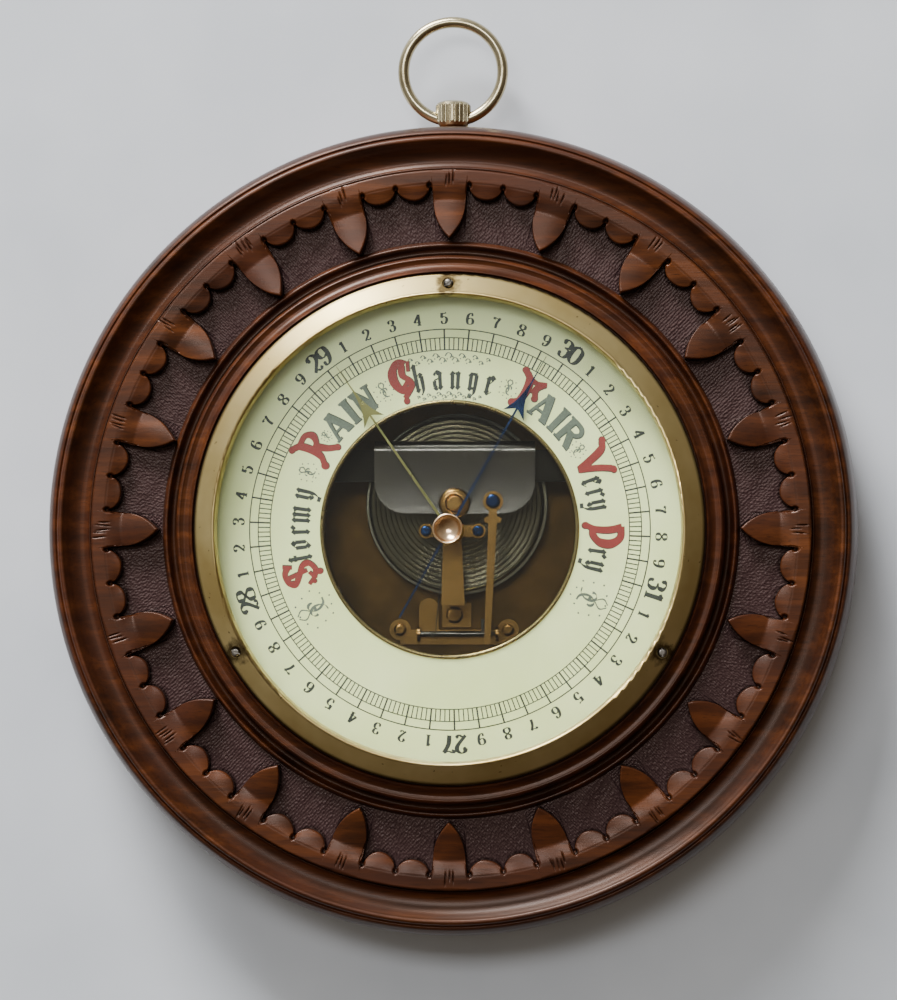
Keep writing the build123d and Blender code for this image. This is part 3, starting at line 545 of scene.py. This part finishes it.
def punch_marks(right, up, spacing):
    """Heights from 0 to 1 of small pits, one in each cell of a slanted grid, each a little out of place."""
    a, b = (right + up) / spacing, (up - right) * 0.8 / spacing
    nearest = np.full(np.shape(a), 9.0)
    for i in (-1, 0, 1):
        for j in (-1, 0, 1):
            cell_a, cell_b = np.floor(a) + i, np.floor(b) + j
            jog_a = np.modf(np.abs(np.sin(cell_a * 12.9898 + cell_b * 78.233) * 43758.5453))[0]
            jog_b = np.modf(np.abs(np.sin(cell_a * 39.3461 + cell_b * 11.135) * 24634.6345))[0]
            gap = np.hypot(a - cell_a - 0.5 - 0.5 * (jog_a - 0.5), b - cell_b - 0.5 - 0.5 * (jog_b - 0.5))
            nearest = np.minimum(nearest, gap)
    return np.clip(nearest / 0.7, 0, 1)


def tool_cuts(turn, radius, cuts):
    """Depth from 0 to 1 of the short gouge cuts at the leaf roots: V grooves with tapered ends."""
    depth = np.zeros(np.shape(radius))
    for place, slant, low, high in cuts:
        along = (radius - low) / (high - low)
        gap = ((turn - place + math.pi) % (2 * math.pi) - math.pi) * radius - slant * (radius - low)
        fade = np.clip(np.minimum(along, 1 - along) * 5, 0, 1)
        depth = np.maximum(depth, np.clip(1 - np.abs(gap) / 0.24, 0, 1) * fade)
    return depth


def make_carved_ring():
    """Four quarters of the carved ring. Across it the points follow the ground, climb the carved edge
    and cross the leaves and band; the edge's own radius carries them round."""
    cut = leaf_cut()
    pitch = 2 * math.pi / LEAVES
    cuts = []
    for leaf in range(LEAVES):
        count = int(rng.integers(3, 6))
        for k in range(count):
            place = leaf * pitch + ((k - (count - 1) / 2) * 0.95 + rng.normal(0, 0.12)) / BAND_INNER_R
            low = 91.0 + rng.uniform(-0.4, 1.4)
            cuts.append((place, rng.normal(0, 0.08), low, low + rng.uniform(2.6, 4.2)))
    ground_rows, wall_rows, top_rows = 40, 8, 38
    columns = 901
    for quarter in range(4):
        turn = np.linspace(quarter * math.pi / 2, (quarter + 1) * math.pi / 2, columns)[:, None]
        edge, leaf = carved_edge(turn, cut)
        wobble = 0.12 * np.sin(turn * 57) * np.sin(turn * 23 + 1)
        edge = edge + wobble * (edge > LEAF_TIP_R + 1)

        u = np.linspace(0, 1, ground_rows)[None, :]
        ground_r = GROUND_R + (edge - 0.12 - GROUND_R) * u
        right, up = ground_r * np.sin(turn), ground_r * np.cos(turn)
        pits = punch_marks(right, up, 0.85)
        foot = np.clip(1 - (edge - ground_r) / 0.8, 0, 1)
        lip = np.clip(1 - (ground_r - GROUND_R) / 0.5, 0, 1)
        ground_h = GROUND_H + 0.24 * (pits - 0.5) * (1 - lip) - 0.12 * foot
        ground_h = ground_h + 0.05 * np.sin(right * 0.9 + 2 * np.sin(up * 0.31))

        w = np.linspace(0, 1, top_rows)[None, :]
        top_r = edge + EDGE_ROUND + (BAND_R - edge - EDGE_ROUND) * w
        top_h, top_painted_shade = carved_height(turn, top_r, leaf, cut, cuts)
        q = np.linspace(0, 1, wall_rows)[None, :]
        round_over = np.clip((q - 0.45) / 0.55, 0, 1) * math.pi / 2
        wall_r = edge - 0.1 * (1 - q) + EDGE_ROUND * (1 - np.cos(round_over))
        crown = top_h[:, :1]
        low = ground_h[:, -1:]
        rise = np.where(q < 0.45, q / 0.45 * (crown - EDGE_ROUND - low), crown - EDGE_ROUND - low)
        wall_h = low + rise + EDGE_ROUND * np.sin(round_over)

        radius = np.concatenate([np.full_like(turn, GROUND_R), ground_r, wall_r[:, 1:-1], top_r,
                                 np.full_like(turn, BAND_R)], axis=1)
        height = np.concatenate([np.full_like(turn, CHANNEL_H), ground_h, wall_h[:, 1:-1], top_h,
                                 np.full_like(turn, CHANNEL_H)], axis=1)
        # Painted shade: the carved wall darkens towards its foot, and the ground near that foot, at its inner
        # lip and in each punch mark; the rows along the ring's underside are black.
        dark_wall = np.broadcast_to(0.85 * (1 - q[:, 1:-1]) ** 1.5, (columns, wall_rows - 2))
        hollow = np.concatenate([np.ones_like(turn), 0.75 * foot + 0.35 * lip + 0.3 * (1 - pits),
                                 dark_wall, top_painted_shade, np.ones_like(turn)], axis=1)
        matted = np.zeros_like(radius)
        matted[:, :ground_rows + 2] = 1.0
        rows, columns_here = radius.shape
        faces = grid_faces(rows, columns_here, False, True)
        ends = (np.arange(columns_here)[::-1], (rows - 1) * columns_here + np.arange(columns_here))
        piece(
            f"carved_ring_{quarter + 1}", around(radius, turn, height), faces, "carved_walnut", "case",
            caps=ends, crease=60.0, stands_for=("wood_case",),
            values={"hollow": np.clip(hollow, 0, 1), "matted": matted},
        )


def carved_height(turn, radius, leaf, cut, cuts):
    """Height of the raised carving, and its painted shade. The band is flat and then falls inwards; a leaf's
    tip half turns up again, and leaves and scallops are slightly crowned across."""
    pitch = 2 * math.pi / LEAVES
    across = (turn - np.round(turn / pitch) * pitch) * radius
    fall = (BAND_H - 28.8) / (BAND_INNER_R - GROUND_R)
    height = BAND_H - fall * np.clip(BAND_INNER_R - radius, 0, None)
    on_leaf = np.clip((NOTCH_R - radius) / 3.0, 0, 1) * (np.abs(across) < 6)
    turned_up = np.clip(LEAF_VALLEY_R - radius, 0, None) * (0.33 + cut["bend"][leaf])
    height = height - on_leaf * (0.02 * across ** 2 - turned_up)
    half = pitch / 4 * radius
    scallop_across = np.abs(np.abs(across) - 2 * half * 0.66)
    on_scallop = np.clip((BAND_INNER_R - radius) / 2.5, 0, 1) * (np.abs(across) > 4.4)
    height = height - on_scallop * 0.02 * scallop_across ** 2
    step = np.clip(1 - np.abs(radius - BAND_INNER_R) / 0.35, 0, 1)
    groove = tool_cuts(turn, radius, cuts)
    dot = np.zeros(np.shape(radius))
    for place in (-LEAF_ROOT, LEAF_ROOT, pitch / 2):
        gap = (turn - place + pitch / 2) % pitch - pitch / 2
        dot = np.maximum(dot, np.exp(-(np.hypot(gap * radius, (radius - 91.9) * 0.8) / 0.62) ** 4))
    height = height - 0.32 * groove - 1.1 * dot - 0.06 * step
    rim = np.clip(1 - (BAND_R - radius) / 0.4, 0, 1)
    height = height - 0.25 * rim ** 2
    # Painted shade in the gouge cuts, the punched dots, at the step and along the outer rim.
    painted_shade = np.clip(0.9 * groove + dot + 0.25 * step + 0.35 * rim, 0, 1)
    return height, painted_shade


# ---------------------------------------------------------------- the dial's printing

INK_BACK_H = 29.99
INK_H = 30.02
SCALE_INNER_R = 47.9
SCALE_MID_R = 51.1
SCALE_OUTER_R = 53.4
INCH_TURN = math.radians(72.0)          # one inch of mercury
THIRTY_TURN = math.radians(34.5)
WORD_R = 37.5                           # the words' baseline
TEXT_HEIGHT = 4.7                       # of a small black letter
LETTER_MIDDLE = 2.5                     # above the baseline, where a letter keeps its width
DIGIT_R, DIGIT_HEIGHT = 54.9, 3.0
NUMERAL_R, NUMERAL_HEIGHT = 54.7, 4.9
FIGURE_STRETCH = 1.28
INITIAL_FAT = 1.2


def smooth(points, steps=7):
    """A curve through the points by Catmull-Rom's four cubic weights; two points stay a straight line."""
    points = np.array(points, dtype=float)
    if len(points) == 2:
        return points[0] + np.linspace(0, 1, steps)[:, None] * (points[1] - points[0])
    padded = np.vstack([2 * points[0] - points[1], points, 2 * points[-1] - points[-2]])
    t = np.linspace(0, 1, steps, endpoint=False)[:, None]
    spans = []
    for a, b, c, d in zip(padded, padded[1:], padded[2:], padded[3:]):
        spans.append(0.5 * (2 * b + (c - a) * t + (2 * a - 5 * b + 4 * c - d) * t**2
                            + (3 * b - a - 3 * c + d) * t**3))
    return np.vstack(spans + [points[-1:]])


class Printing:
    """Strokes of one ink on the dial, gathered as thin closed bars and made one mesh."""

    def __init__(self, ink, level=0.0):
        self.ink = ink
        self.height = INK_H + level
        self.points = []
        self.faces = []
        self.count = 0

    def bar(self, radius_a, turn_a, radius_b, turn_b):
        """A flat bar between two edges, each a row of radii and turns."""
        self.height += 0.000005
        high, low = self.height, INK_BACK_H
        sides = ((radius_a, turn_a, low), (radius_b, turn_b, low), (radius_b, turn_b, high),
                 (radius_a, turn_a, high))
        rows = np.stack([around(radius, turn, out) for radius, turn, out in sides], axis=1)
        count = len(rows)
        faces = grid_faces(count, 4, False, True)
        last = 4 * (count - 1)
        ends = np.array([[3, 2, 1, 0], [last, last + 1, last + 2, last + 3]])
        self.points.append(rows.reshape(-1, 3))
        self.faces.append(np.vstack([faces, ends]) + self.count)
        self.count += 4 * count

    def circle(self, radius, width):
        turn = np.linspace(0, 2 * math.pi, 361)
        self.bar(np.full(361, radius - width / 2), turn, np.full(361, radius + width / 2), turn)

    def tick(self, turn, inner, outer, width):
        radius = np.array([inner, outer])
        half = width / 2 / radius
        self.bar(radius, turn - half, radius, turn + half)

    def stroke(self, path, base, turn, pen, nib=0.0, least=0.14, scale=1.0):
        """A pen stroke along letter coordinates, right and up from a point on the baseline. The pen is wide
        across its nib's angle, so a stroke's width is pen times the sine of the angle between them."""
        path = smooth(path) * scale
        ahead = np.gradient(path, axis=0)
        ahead /= np.linalg.norm(ahead, axis=1)[:, None] + 1e-9
        width = np.maximum(np.abs(ahead[:, 1] * math.cos(nib) - ahead[:, 0] * math.sin(nib)) * pen, least)
        side = np.stack([-ahead[:, 1], ahead[:, 0]], axis=1) * width[:, None] / 2
        middle = base + LETTER_MIDDLE
        edges = []
        for edge in (path + side, path - side):
            edges += [base + edge[:, 1], turn + edge[:, 0] / middle]
        self.bar(edges[0], edges[1], edges[2], edges[3])

    def dot(self, right, up, base, turn, size):
        bend = np.linspace(0, math.pi, 9)
        middle = base + LETTER_MIDDLE
        across, rise = size * np.sin(bend), size * np.cos(bend)
        edge = base + up + rise
        self.bar(edge, turn + (right - across) / middle, edge, turn + (right + across) / middle)

    def finish(self, name):
        piece(name, np.vstack(self.points), np.vstack(self.faces), self.ink, "case", crease=40.0)


# A figure is one unit tall: strokes, then balls as (right, up).
SIX = [[(0.42, 0.88), (0.28, 0.99), (0.11, 0.82), (0.04, 0.45), (0.09, 0.1), (0.25, 0.0), (0.42, 0.1),
        (0.46, 0.3),
        (0.38, 0.5), (0.25, 0.55), (0.1, 0.45)]]
FIGURES = {
    "0": ([[(0.25, 1.0), (0.06, 0.78), (0.06, 0.22), (0.25, 0.0), (0.44, 0.22), (0.44, 0.78),
            (0.25, 1.0)]], []),
    "1": ([[(0.28, 0.02), (0.28, 1.0)], [(0.28, 0.98), (0.12, 0.8)], [(0.12, 0.03), (0.44, 0.03)]], []),
    "2": ([[(0.08, 0.74), (0.13, 0.92), (0.28, 0.99), (0.44, 0.8), (0.38, 0.52), (0.05, 0.04)],
           [(0.05, 0.08), (0.2, 0.1), (0.34, 0.02), (0.47, 0.16)]], [(0.12, 0.76)]),
    "3": ([[(0.08, 0.8), (0.15, 0.95), (0.28, 0.99), (0.42, 0.85), (0.38, 0.62), (0.2, 0.53)],
           [(0.2, 0.53), (0.4, 0.47), (0.46, 0.25), (0.36, 0.04), (0.2, 0.0), (0.07, 0.14)]],
          [(0.11, 0.8), (0.1, 0.18)]),
    "4": ([[(0.36, 0.02), (0.36, 1.0)], [(0.36, 0.98), (0.02, 0.3)], [(0.0, 0.3), (0.5, 0.3)],
           [(0.2, 0.03), (0.5, 0.03)]], []),
    "5": ([[(0.12, 0.93), (0.3, 0.9), (0.42, 0.98)], [(0.12, 0.95), (0.1, 0.52)],
           [(0.1, 0.52), (0.26, 0.62), (0.43, 0.5), (0.46, 0.28), (0.36, 0.04), (0.2, 0.0),
            (0.07, 0.12)]], [(0.1, 0.17)]),
    "6": (SIX, [(0.38, 0.83)]),
    "7": ([[(0.04, 0.8), (0.1, 0.95), (0.28, 0.88), (0.47, 0.97)],
           [(0.46, 0.96), (0.28, 0.5), (0.24, 0.02)]], []),
    "8": ([[(0.25, 0.53), (0.08, 0.7), (0.11, 0.93), (0.25, 1.0), (0.39, 0.93), (0.42, 0.7), (0.25, 0.53),
            (0.05, 0.32), (0.08, 0.07), (0.25, 0.0), (0.42, 0.07), (0.45, 0.32), (0.25, 0.53)]], []),
    "9": ([[(0.5 - x, 1 - y) for x, y in SIX[0]]], [(0.12, 0.17)]),
}


def print_figures(printing, text, turn, base, height):
    """Figures side by side, centred on a turn, with thick uprights and thin flats."""
    for k, figure in enumerate(text):
        start = (k - len(text) / 2) * 0.52 * FIGURE_STRETCH * height
        strokes, balls = FIGURES[figure]
        here = turn + start / (base + LETTER_MIDDLE)
        for path in strokes:
            wide = [(right * FIGURE_STRETCH, up) for right, up in path]
            printing.stroke(wide, base, here, 0.25 * height, least=0.08 * height, scale=height)
        for right, up in balls:
            printing.dot(right * FIGURE_STRETCH * height, up * height, base, here, 0.1 * height)


def minim(x, top=0.9, foot=0.1):
    """The black letter's upright, with a diamond at its head and at its foot."""
    return [[(x - 0.09, top + 0.02), (x + 0.07, top - 0.1)], [(x, top), (x, foot)],
            [(x - 0.07, foot + 0.06), (x + 0.1, foot - 0.08)]]


# A small black letter is one unit tall: its width, then its strokes.
BLACK_LETTERS = {
    "a": (0.68, [[(0.1, 0.78), (0.2, 0.98), (0.4, 0.88)], [(0.1, 0.48), (0.1, 0.14)],
                 [(0.08, 0.5), (0.38, 0.62)],
                 [(0.08, 0.16), (0.24, 0.02), (0.36, 0.14)]] + minim(0.42)),
    "e": (0.56, minim(0.12) + [[(0.14, 0.88), (0.24, 0.98), (0.4, 0.82)], [(0.4, 0.82), (0.14, 0.48)],
                               [(0.12, 0.14), (0.24, 0.0), (0.42, 0.14)]]),
    "g": (0.68, minim(0.12) + [[(0.42, 0.9), (0.42, 0.1), (0.36, -0.22), (0.16, -0.3)],
                               [(0.1, 0.92), (0.46, 0.92)],
                               [(0.14, 0.1), (0.4, 0.12)], [(0.04, -0.34), (0.3, -0.38)]]),
    "h": (0.7, minim(0.12, 1.5) + [[(0.14, 0.78), (0.3, 0.96), (0.44, 0.84)],
                                   [(0.44, 0.86), (0.44, 0.1), (0.3, -0.22)]]),
    "m": (1.0, minim(0.12) + minim(0.44) + minim(0.76)
          + [[(0.16, 0.8), (0.36, 0.94)], [(0.48, 0.8), (0.68, 0.94)]]),
    "n": (0.7, minim(0.12) + minim(0.44) + [[(0.16, 0.8), (0.36, 0.94)]]),
    "o": (0.66, [[(0.12, 0.8), (0.12, 0.18)], [(0.44, 0.82), (0.44, 0.2)], [(0.12, 0.78), (0.3, 1.0)],
                 [(0.28, 1.0), (0.46, 0.82)], [(0.1, 0.18), (0.28, 0.0)], [(0.26, 0.0), (0.46, 0.2)]]),
    "r": (0.5, minim(0.12) + [[(0.16, 0.8), (0.3, 0.96)], [(0.28, 0.98), (0.44, 0.84)]]),
    "t": (0.46, minim(0.14, 1.25) + [[(0.0, 0.93), (0.34, 0.93)]]),
    "y": (0.74, [[(0.04, 0.94), (0.18, 0.82)], [(0.12, 0.9), (0.12, 0.2)],
                 [(0.1, 0.18), (0.28, 0.02), (0.42, 0.2)],
                 [(0.36, 0.94), (0.5, 0.82)], [(0.44, 0.9), (0.46, 0.1), (0.36, -0.22), (0.22, -0.34)],
                 [(0.02, -0.36), (0.34, -0.4)]]),
}

# Grey shaded capitals, in mm on a 7.2 mm letter: each stroke with its width.
SHADED = {
    "A": [(0.9, [(0.9, 0.2), (3.2, 7.2)]), (2.0, [(3.2, 7.2), (5.6, 0.2)]), (0.7, [(1.8, 2.3), (4.4, 2.3)]),
          (0.6, [(0.1, 0.3), (2.0, 0.3)]), (0.6, [(4.2, 0.3), (6.7, 0.3)]), (0.6, [(2.3, 7.0), (4.1, 7.0)])],
    "I": [(1.8, [(1.2, 0.2), (1.2, 7.1)]), (0.6, [(0.0, 0.3), (2.4, 0.3)]), (0.6, [(0.0, 7.0), (2.4, 7.0)])],
    "R": [(1.7, [(1.3, 0.2), (1.3, 7.1)]),
          (1.2, [(1.4, 6.8), (3.8, 6.7), (4.8, 5.4), (3.9, 4.0), (1.8, 3.7)]),
          (1.9, [(2.9, 3.8), (5.1, 0.3)]), (0.6, [(0.0, 0.3), (2.6, 0.3)]), (0.6, [(0.0, 7.0), (2.6, 7.0)]),
          (0.6, [(4.4, 0.3), (6.1, 0.3)])],
    "N": [(1.0, [(1.1, 0.2), (1.1, 7.0)]), (2.0, [(1.0, 7.0), (4.7, 0.3)]), (1.0, [(4.7, 0.2), (4.7, 7.0)]),
          (0.6, [(0.1, 0.3), (2.0, 0.3)]), (0.6, [(3.7, 7.0), (5.6, 7.0)]), (0.6, [(0.0, 7.0), (1.7, 7.0)])],
}

# Red initials, in mm: each stroke with its width, then balls as (size, right, up).
INITIALS = {
    "S": ([(1.5, [(5.7, 7.0), (4.3, 8.1), (2.2, 7.7), (1.5, 6.0), (3.2, 4.4), (5.5, 2.9), (5.7, 1.0),
                  (3.6, -0.2), (1.4, 0.8)]),
           (0.8, [(6.2, 8.3), (5.6, 5.8)]), (1.0, [(0.2, 2.6), (1.6, 0.9), (3.4, 1.6)]),
           (0.9, [(3.2, 7.6), (4.0, 2.0)])],
          [(0.9, 2.7, -1.2), (0.6, 0.5, 1.0)]),
    "R": ([(1.6, [(1.4, 9.4), (2.6, 8.0), (3.2, 5.0), (3.0, 2.0), (1.4, 0.0)]),
           (1.5, [(2.6, 8.4), (5.2, 8.5), (6.3, 6.8), (5.4, 5.0), (3.4, 4.4)]),
           (1.7, [(4.4, 4.6), (5.8, 1.6), (7.4, -0.2)])],
          [(0.85, 1.0, 9.6), (1.1, 1.3, -0.2), (0.9, 7.7, -0.4)]),
    "C": ([(1.9, [(4.8, 8.2), (3.2, 9.0), (1.5, 7.2), (1.1, 4.4), (2.2, 1.8), (4.4, 1.2)]),
           (1.4, [(3.9, 8.0), (3.6, 5.4), (4.9, 3.8), (5.2, 2.0), (3.8, 0.4), (2.4, -0.6)]),
           (0.7, [(5.6, 8.8), (5.2, 6.0)]),
           (1.2, [(4.4, 3.4), (3.0, 2.2)])],
          [(0.9, 2.7, -1.4), (0.7, 5.0, 2.0)]),
    "F": ([(1.7, [(1.5, 9.3), (2.8, 7.8), (3.3, 4.8), (2.9, 1.8), (1.4, 0.4)]),
           (1.3, [(2.6, 8.2), (4.8, 7.8), (7.0, 8.8)]),
           (1.4, [(6.4, 8.4), (5.3, 6.2), (6.2, 4.2)]), (1.0, [(3.2, 5.2), (5.2, 5.4)])],
          [(0.85, 1.1, 9.6), (1.0, 1.2, 0.3), (0.85, 6.2, 4.0)]),
    "V": ([(1.7, [(1.0, 9.3), (2.6, 7.8), (4.6, 0.6)]), (1.4, [(4.8, 0.6), (6.2, 5.4), (7.5, 8.8)]),
           (1.2, [(3.7, 1.0), (5.6, 0.7)]),
           (1.3, [(2.0, 7.9), (3.4, 8.0)])],
          [(0.85, 0.7, 9.6), (0.85, 7.8, 9.1)]),
    "D": ([(1.5, [(2.2, 8.4), (2.8, 5.0), (2.6, 1.4), (1.6, -0.8)]),
           (1.9, [(2.0, 8.2), (4.6, 8.0), (6.2, 5.6), (6.0, 2.6), (4.2, 0.8), (2.4, 0.8)])],
          [(1.0, 1.5, -1.2)]),
}

# Where each word starts, clockwise in degrees from the top: its red initial, then the rest, and how
# wide it is set.
WORDS = [
    (-111.7, "S", -101.9, "tormy", 1.34), (-64.7, "R", -52.3, "AIN", 1.0), (-22.2, "C", -13.4, "hange", 1.48),
    (24.2, "F", 32.9, "AIR", 1.0), (58.7, "V", 70.1, "ery", 1.22), (86.2, "D", 97.6, "ry", 1.4),
]
SCROLLS = [(-68.0, 40.6, 1.8), (-25.5, 40.6, 1.8), (22.6, 40.6, 1.7), (58.3, 40.0, 1.5), (-52.8, 41.2, 1.0),
           (116.2, 41.6, 3.4), (-120.5, 41.6, 3.4)]


def print_scroll(printing, turn, radius, size):
    """A sprig of dotted scrollwork: two spirals that mirror each other, with dots round them."""
    for way in (-1, 1):
        bend = np.linspace(0.0, 1.6 * math.pi, 9)
        grow = size * (0.2 + 0.75 * bend / bend[-1])
        curl = np.stack([way * (0.45 * size + grow * np.cos(bend)) * 0.8, grow * np.sin(bend)], axis=1)
        printing.stroke(curl, radius, turn, 0.2 * size + 0.1, nib=0.6, least=0.13)
        printing.stroke([(0.0, size * 0.4), (way * size * 0.4, size * 1.0),
                         (way * size * 0.1, size * 1.5)], radius, turn, 0.4, least=0.13)
    for k in range(11):
        bend = k * 2 * math.pi / 11
        reach = size * (1.35 + 0.2 * (k % 2))
        printing.dot(reach * math.sin(bend), reach * math.cos(bend), radius, turn, 0.12 + 0.04 * size)
    printing.dot(0.0, 0.0, radius, turn, 0.14 * size)


def print_garland(printing, radius, half_turn, size):
    """A row of small curls and dots along an arc, over or under a word."""
    places = np.linspace(-half_turn, half_turn, 13)
    for k, place in enumerate(places):
        lift = size * 0.5 * math.cos(k * math.pi)
        fat = size * (1.0 - 0.5 * abs(place) / half_turn)
        curl = [(-fat, lift), (-0.3 * fat, lift + 0.7 * fat), (0.5 * fat, lift + 0.2 * fat),
                (0.2 * fat, lift - 0.5 * fat)]
        printing.stroke(curl, radius, place, 0.45, least=0.16)
        printing.dot(0.8 * fat, lift - 0.2 * fat, radius, place, 0.24)
        printing.dot(-0.5 * fat, lift - 0.7 * fat, radius, place, 0.2)


def print_dial():
    """The scale of inches of mercury in fiftieths, its figures, and the six words of the weather."""
    black, grey, red = Printing("black_ink"), Printing("grey_ink", 0.01), Printing("red_ink", 0.01)
    for radius, width in ((SCALE_INNER_R, 0.26), (SCALE_MID_R, 0.26), (SCALE_OUTER_R, 0.3)):
        black.circle(radius, width)
    for k in range(250):
        turn = THIRTY_TURN + k * INCH_TURN / 50
        black.tick(turn, SCALE_INNER_R, SCALE_MID_R, 0.3)
        if k % 5 == 0:
            black.tick(turn, SCALE_INNER_R, SCALE_OUTER_R, 0.44)
        if k % 5 == 0 and k % 50:
            print_figures(black, str(k // 5 % 10), turn, DIGIT_R, DIGIT_HEIGHT)
    for k, inches in enumerate(("30", "31", "27", "28", "29")):
        print_figures(black, inches, THIRTY_TURN + k * INCH_TURN, NUMERAL_R, NUMERAL_HEIGHT)
    for initial_turn, initial, turn, rest, spacing in WORDS:
        strokes, balls = INITIALS[initial]
        here = math.radians(initial_turn)
        for width, path in strokes:
            fat = width * INITIAL_FAT
            black.stroke([(x + 0.1, y - 0.08) for x, y in path], WORD_R, here, fat + 0.2,
                         least=fat * 0.8 + 0.2)
            red.stroke(path, WORD_R, here, fat, least=fat * 0.8)
        for size, right, up in balls:
            black.dot(right + 0.08, up - 0.08, WORD_R, here, size + 0.12)
            red.dot(right, up, WORD_R, here, size)
        here = math.radians(turn)
        for letter in rest:
            if letter in SHADED:
                for width, path in SHADED[letter]:
                    shade = [(x + 0.16, y - 0.12) for x, y in path]
                    black.stroke(shade, WORD_R, here, width + 0.18, least=width + 0.18)
                    grey.stroke(path, WORD_R, here, width - 0.12, least=width - 0.12)
                wide = max(x for _, path in SHADED[letter] for x, _ in path) + 0.5
                here += wide / (WORD_R + LETTER_MIDDLE)
            else:
                wide, paths = BLACK_LETTERS[letter]
                for path in paths:
                    black.stroke(path, WORD_R, here, 1.3, math.radians(40), 0.26, TEXT_HEIGHT)
                here += wide * spacing * TEXT_HEIGHT / (WORD_R + LETTER_MIDDLE)
    for turn, radius, size in SCROLLS:
        print_scroll(grey, math.radians(turn), radius, size)
    print_garland(grey, 45.7, math.radians(13), 1.2)
    print_garland(grey, 35.8, math.radians(13), 0.8)
    black.finish("dial_print_black")
    grey.finish("dial_print_grey")
    red.finish("dial_print_red")


# ---------------------------------------------------------------- hands, mainspring and capsule

HAND_SIDE = [
    (0.3, -2.0), (1.3, -1.3), (1.85, 0.0), (1.3, 1.3), (0.34, 2.0), (0.27, 36.7), (1.0, 36.3), (2.0, 35.6),
    (3.2, 34.8), (2.4, 36.2), (1.55, 37.9), (0.9, 39.8), (0.48, 42.0), (0.22, 44.5), (0.12, 48.0),
    (0.05, 52.7),
]
MOVEMENT_X, MOVEMENT_Y = 1.2, 7.0
SPRING_HALF_W = 21.5
SPRING_CORNER_R = 8.5
SPRING_END_Y = 4.3
FOLD_Y, FOLD_H, FOLD_R = 21.1, 23.5, 2.3
STRIP_HALF_T = 0.4
SPRING_FOOT_Y = 13.5
CORRUGATIONS = 15
WAVES_FROM_R, WAVES_TO_R = 4.0, 22.9
WAVE_MIDDLE_H, WAVE_HALF_H = 17.05, 0.35


def make_hand(name, material, body, tail, turn_degrees, back, front):
    """A hand cut from sheet: a swept arrowhead drawn out to a needle, with a round hub."""
    side = [(0.28, -tail)] + HAND_SIDE
    right = np.array([x for x, _ in side] + [-x for x, _ in reversed(side)])
    up = np.array([y for _, y in side] + [y for _, y in reversed(side)])
    turn = math.radians(turn_degrees)
    x = right * math.cos(turn) + up * math.sin(turn)
    y = up * math.cos(turn) - right * math.sin(turn)
    points = np.stack([on_wall(x, y, back), on_wall(x, y, front)])
    count = len(x)
    ends = (np.arange(count)[::-1], count + np.arange(count))
    piece(name + "_cut", points, grid_faces(2, count, False, True), material, body, ends, 30.0, (name,))


def make_mainspring():
    """The C spring: a strip of even thickness about a middle line, whose upper leaf is set in a
    shallow parabola, with round corners at its free end."""
    fold = np.linspace(-math.pi / 2, math.pi / 2, 14)
    along = np.linspace(0.0, 1.0, 40)[1:]
    leaf_y = FOLD_Y + (SPRING_END_Y - FOLD_Y) * along
    leaf_h = FOLD_H + FOLD_R + 0.9 * along**2 - 0.55 * along
    y = np.concatenate([[SPRING_FOOT_Y], FOLD_Y + FOLD_R * np.cos(fold), leaf_y])
    h = np.concatenate([[FOLD_H - FOLD_R], FOLD_H + FOLD_R * np.sin(fold), leaf_h])
    ahead = np.stack([np.gradient(y), np.gradient(h)], axis=1)
    ahead /= np.linalg.norm(ahead, axis=1)[:, None]
    corner = np.clip(SPRING_END_Y + SPRING_CORNER_R - y, 0, SPRING_CORNER_R - 0.02)
    on_leaf = np.arange(len(y)) > len(fold)
    half = SPRING_HALF_W - on_leaf * (SPRING_CORNER_R - np.sqrt(SPRING_CORNER_R**2 - corner**2))
    across = np.linspace(-1, 1, 25)
    front = np.concatenate([across, across[::-1]])
    face = np.concatenate([np.ones(25), -np.ones(25)])
    out_y = y[:, None] + ahead[:, 1:2] * STRIP_HALF_T * face
    out_h = h[:, None] - ahead[:, 0:1] * STRIP_HALF_T * face
    points = on_wall(MOVEMENT_X + half[:, None] * front, out_y, out_h)
    last = (len(y) - 1) * 50
    ends = (np.arange(50)[::-1], last + np.arange(50))
    piece("mainspring_leaf", points, grid_faces(len(y), 50, False, True), "spring_steel",
          "lever_assembly", ends, 40.0, ("mainspring",))


def make_capsule():
    """The capsule: corrugations as a cosine of the radius, between a flat boss and the soldered rim."""
    ripple = np.linspace(WAVES_FROM_R, WAVES_TO_R, 10 * CORRUGATIONS + 1)
    phase = 2 * math.pi * CORRUGATIONS * (ripple - WAVES_FROM_R) / (WAVES_TO_R - WAVES_FROM_R)
    wave = WAVE_MIDDLE_H + WAVE_HALF_H * np.cos(phase)
    front = [(1.6, WAVE_MIDDLE_H + WAVE_HALF_H)] + list(zip(ripple, wave))
    rim = [(23.4, 17.2), (23.7, 16.7), (23.7, 14.2), (24.4, 14.1), (24.6, 13.8), (24.4, 13.2),
           (23.7, 13.1), (23.7, 10.8)]
    turned("capsule_discs", front + rim + [(23.0, 9.9), (1.6, 9.9)], "capsule_metal", "case",
           (MOVEMENT_X, MOVEMENT_Y), 200, 40.0, ("capsule",))


place_camera()
make_wall()
light_room()
make_case_turning()
make_carved_ring()
print_dial()
make_hand("indicating_hand", "blued_steel", "pointer", tail=27.0, turn_degrees=29.4, back=31.3, front=31.7)
make_hand("set_hand", "set_brass", "set_pointer", tail=3.0, turn_degrees=-34.7, back=32.9, front=33.3)
make_mainspring()
make_capsule()
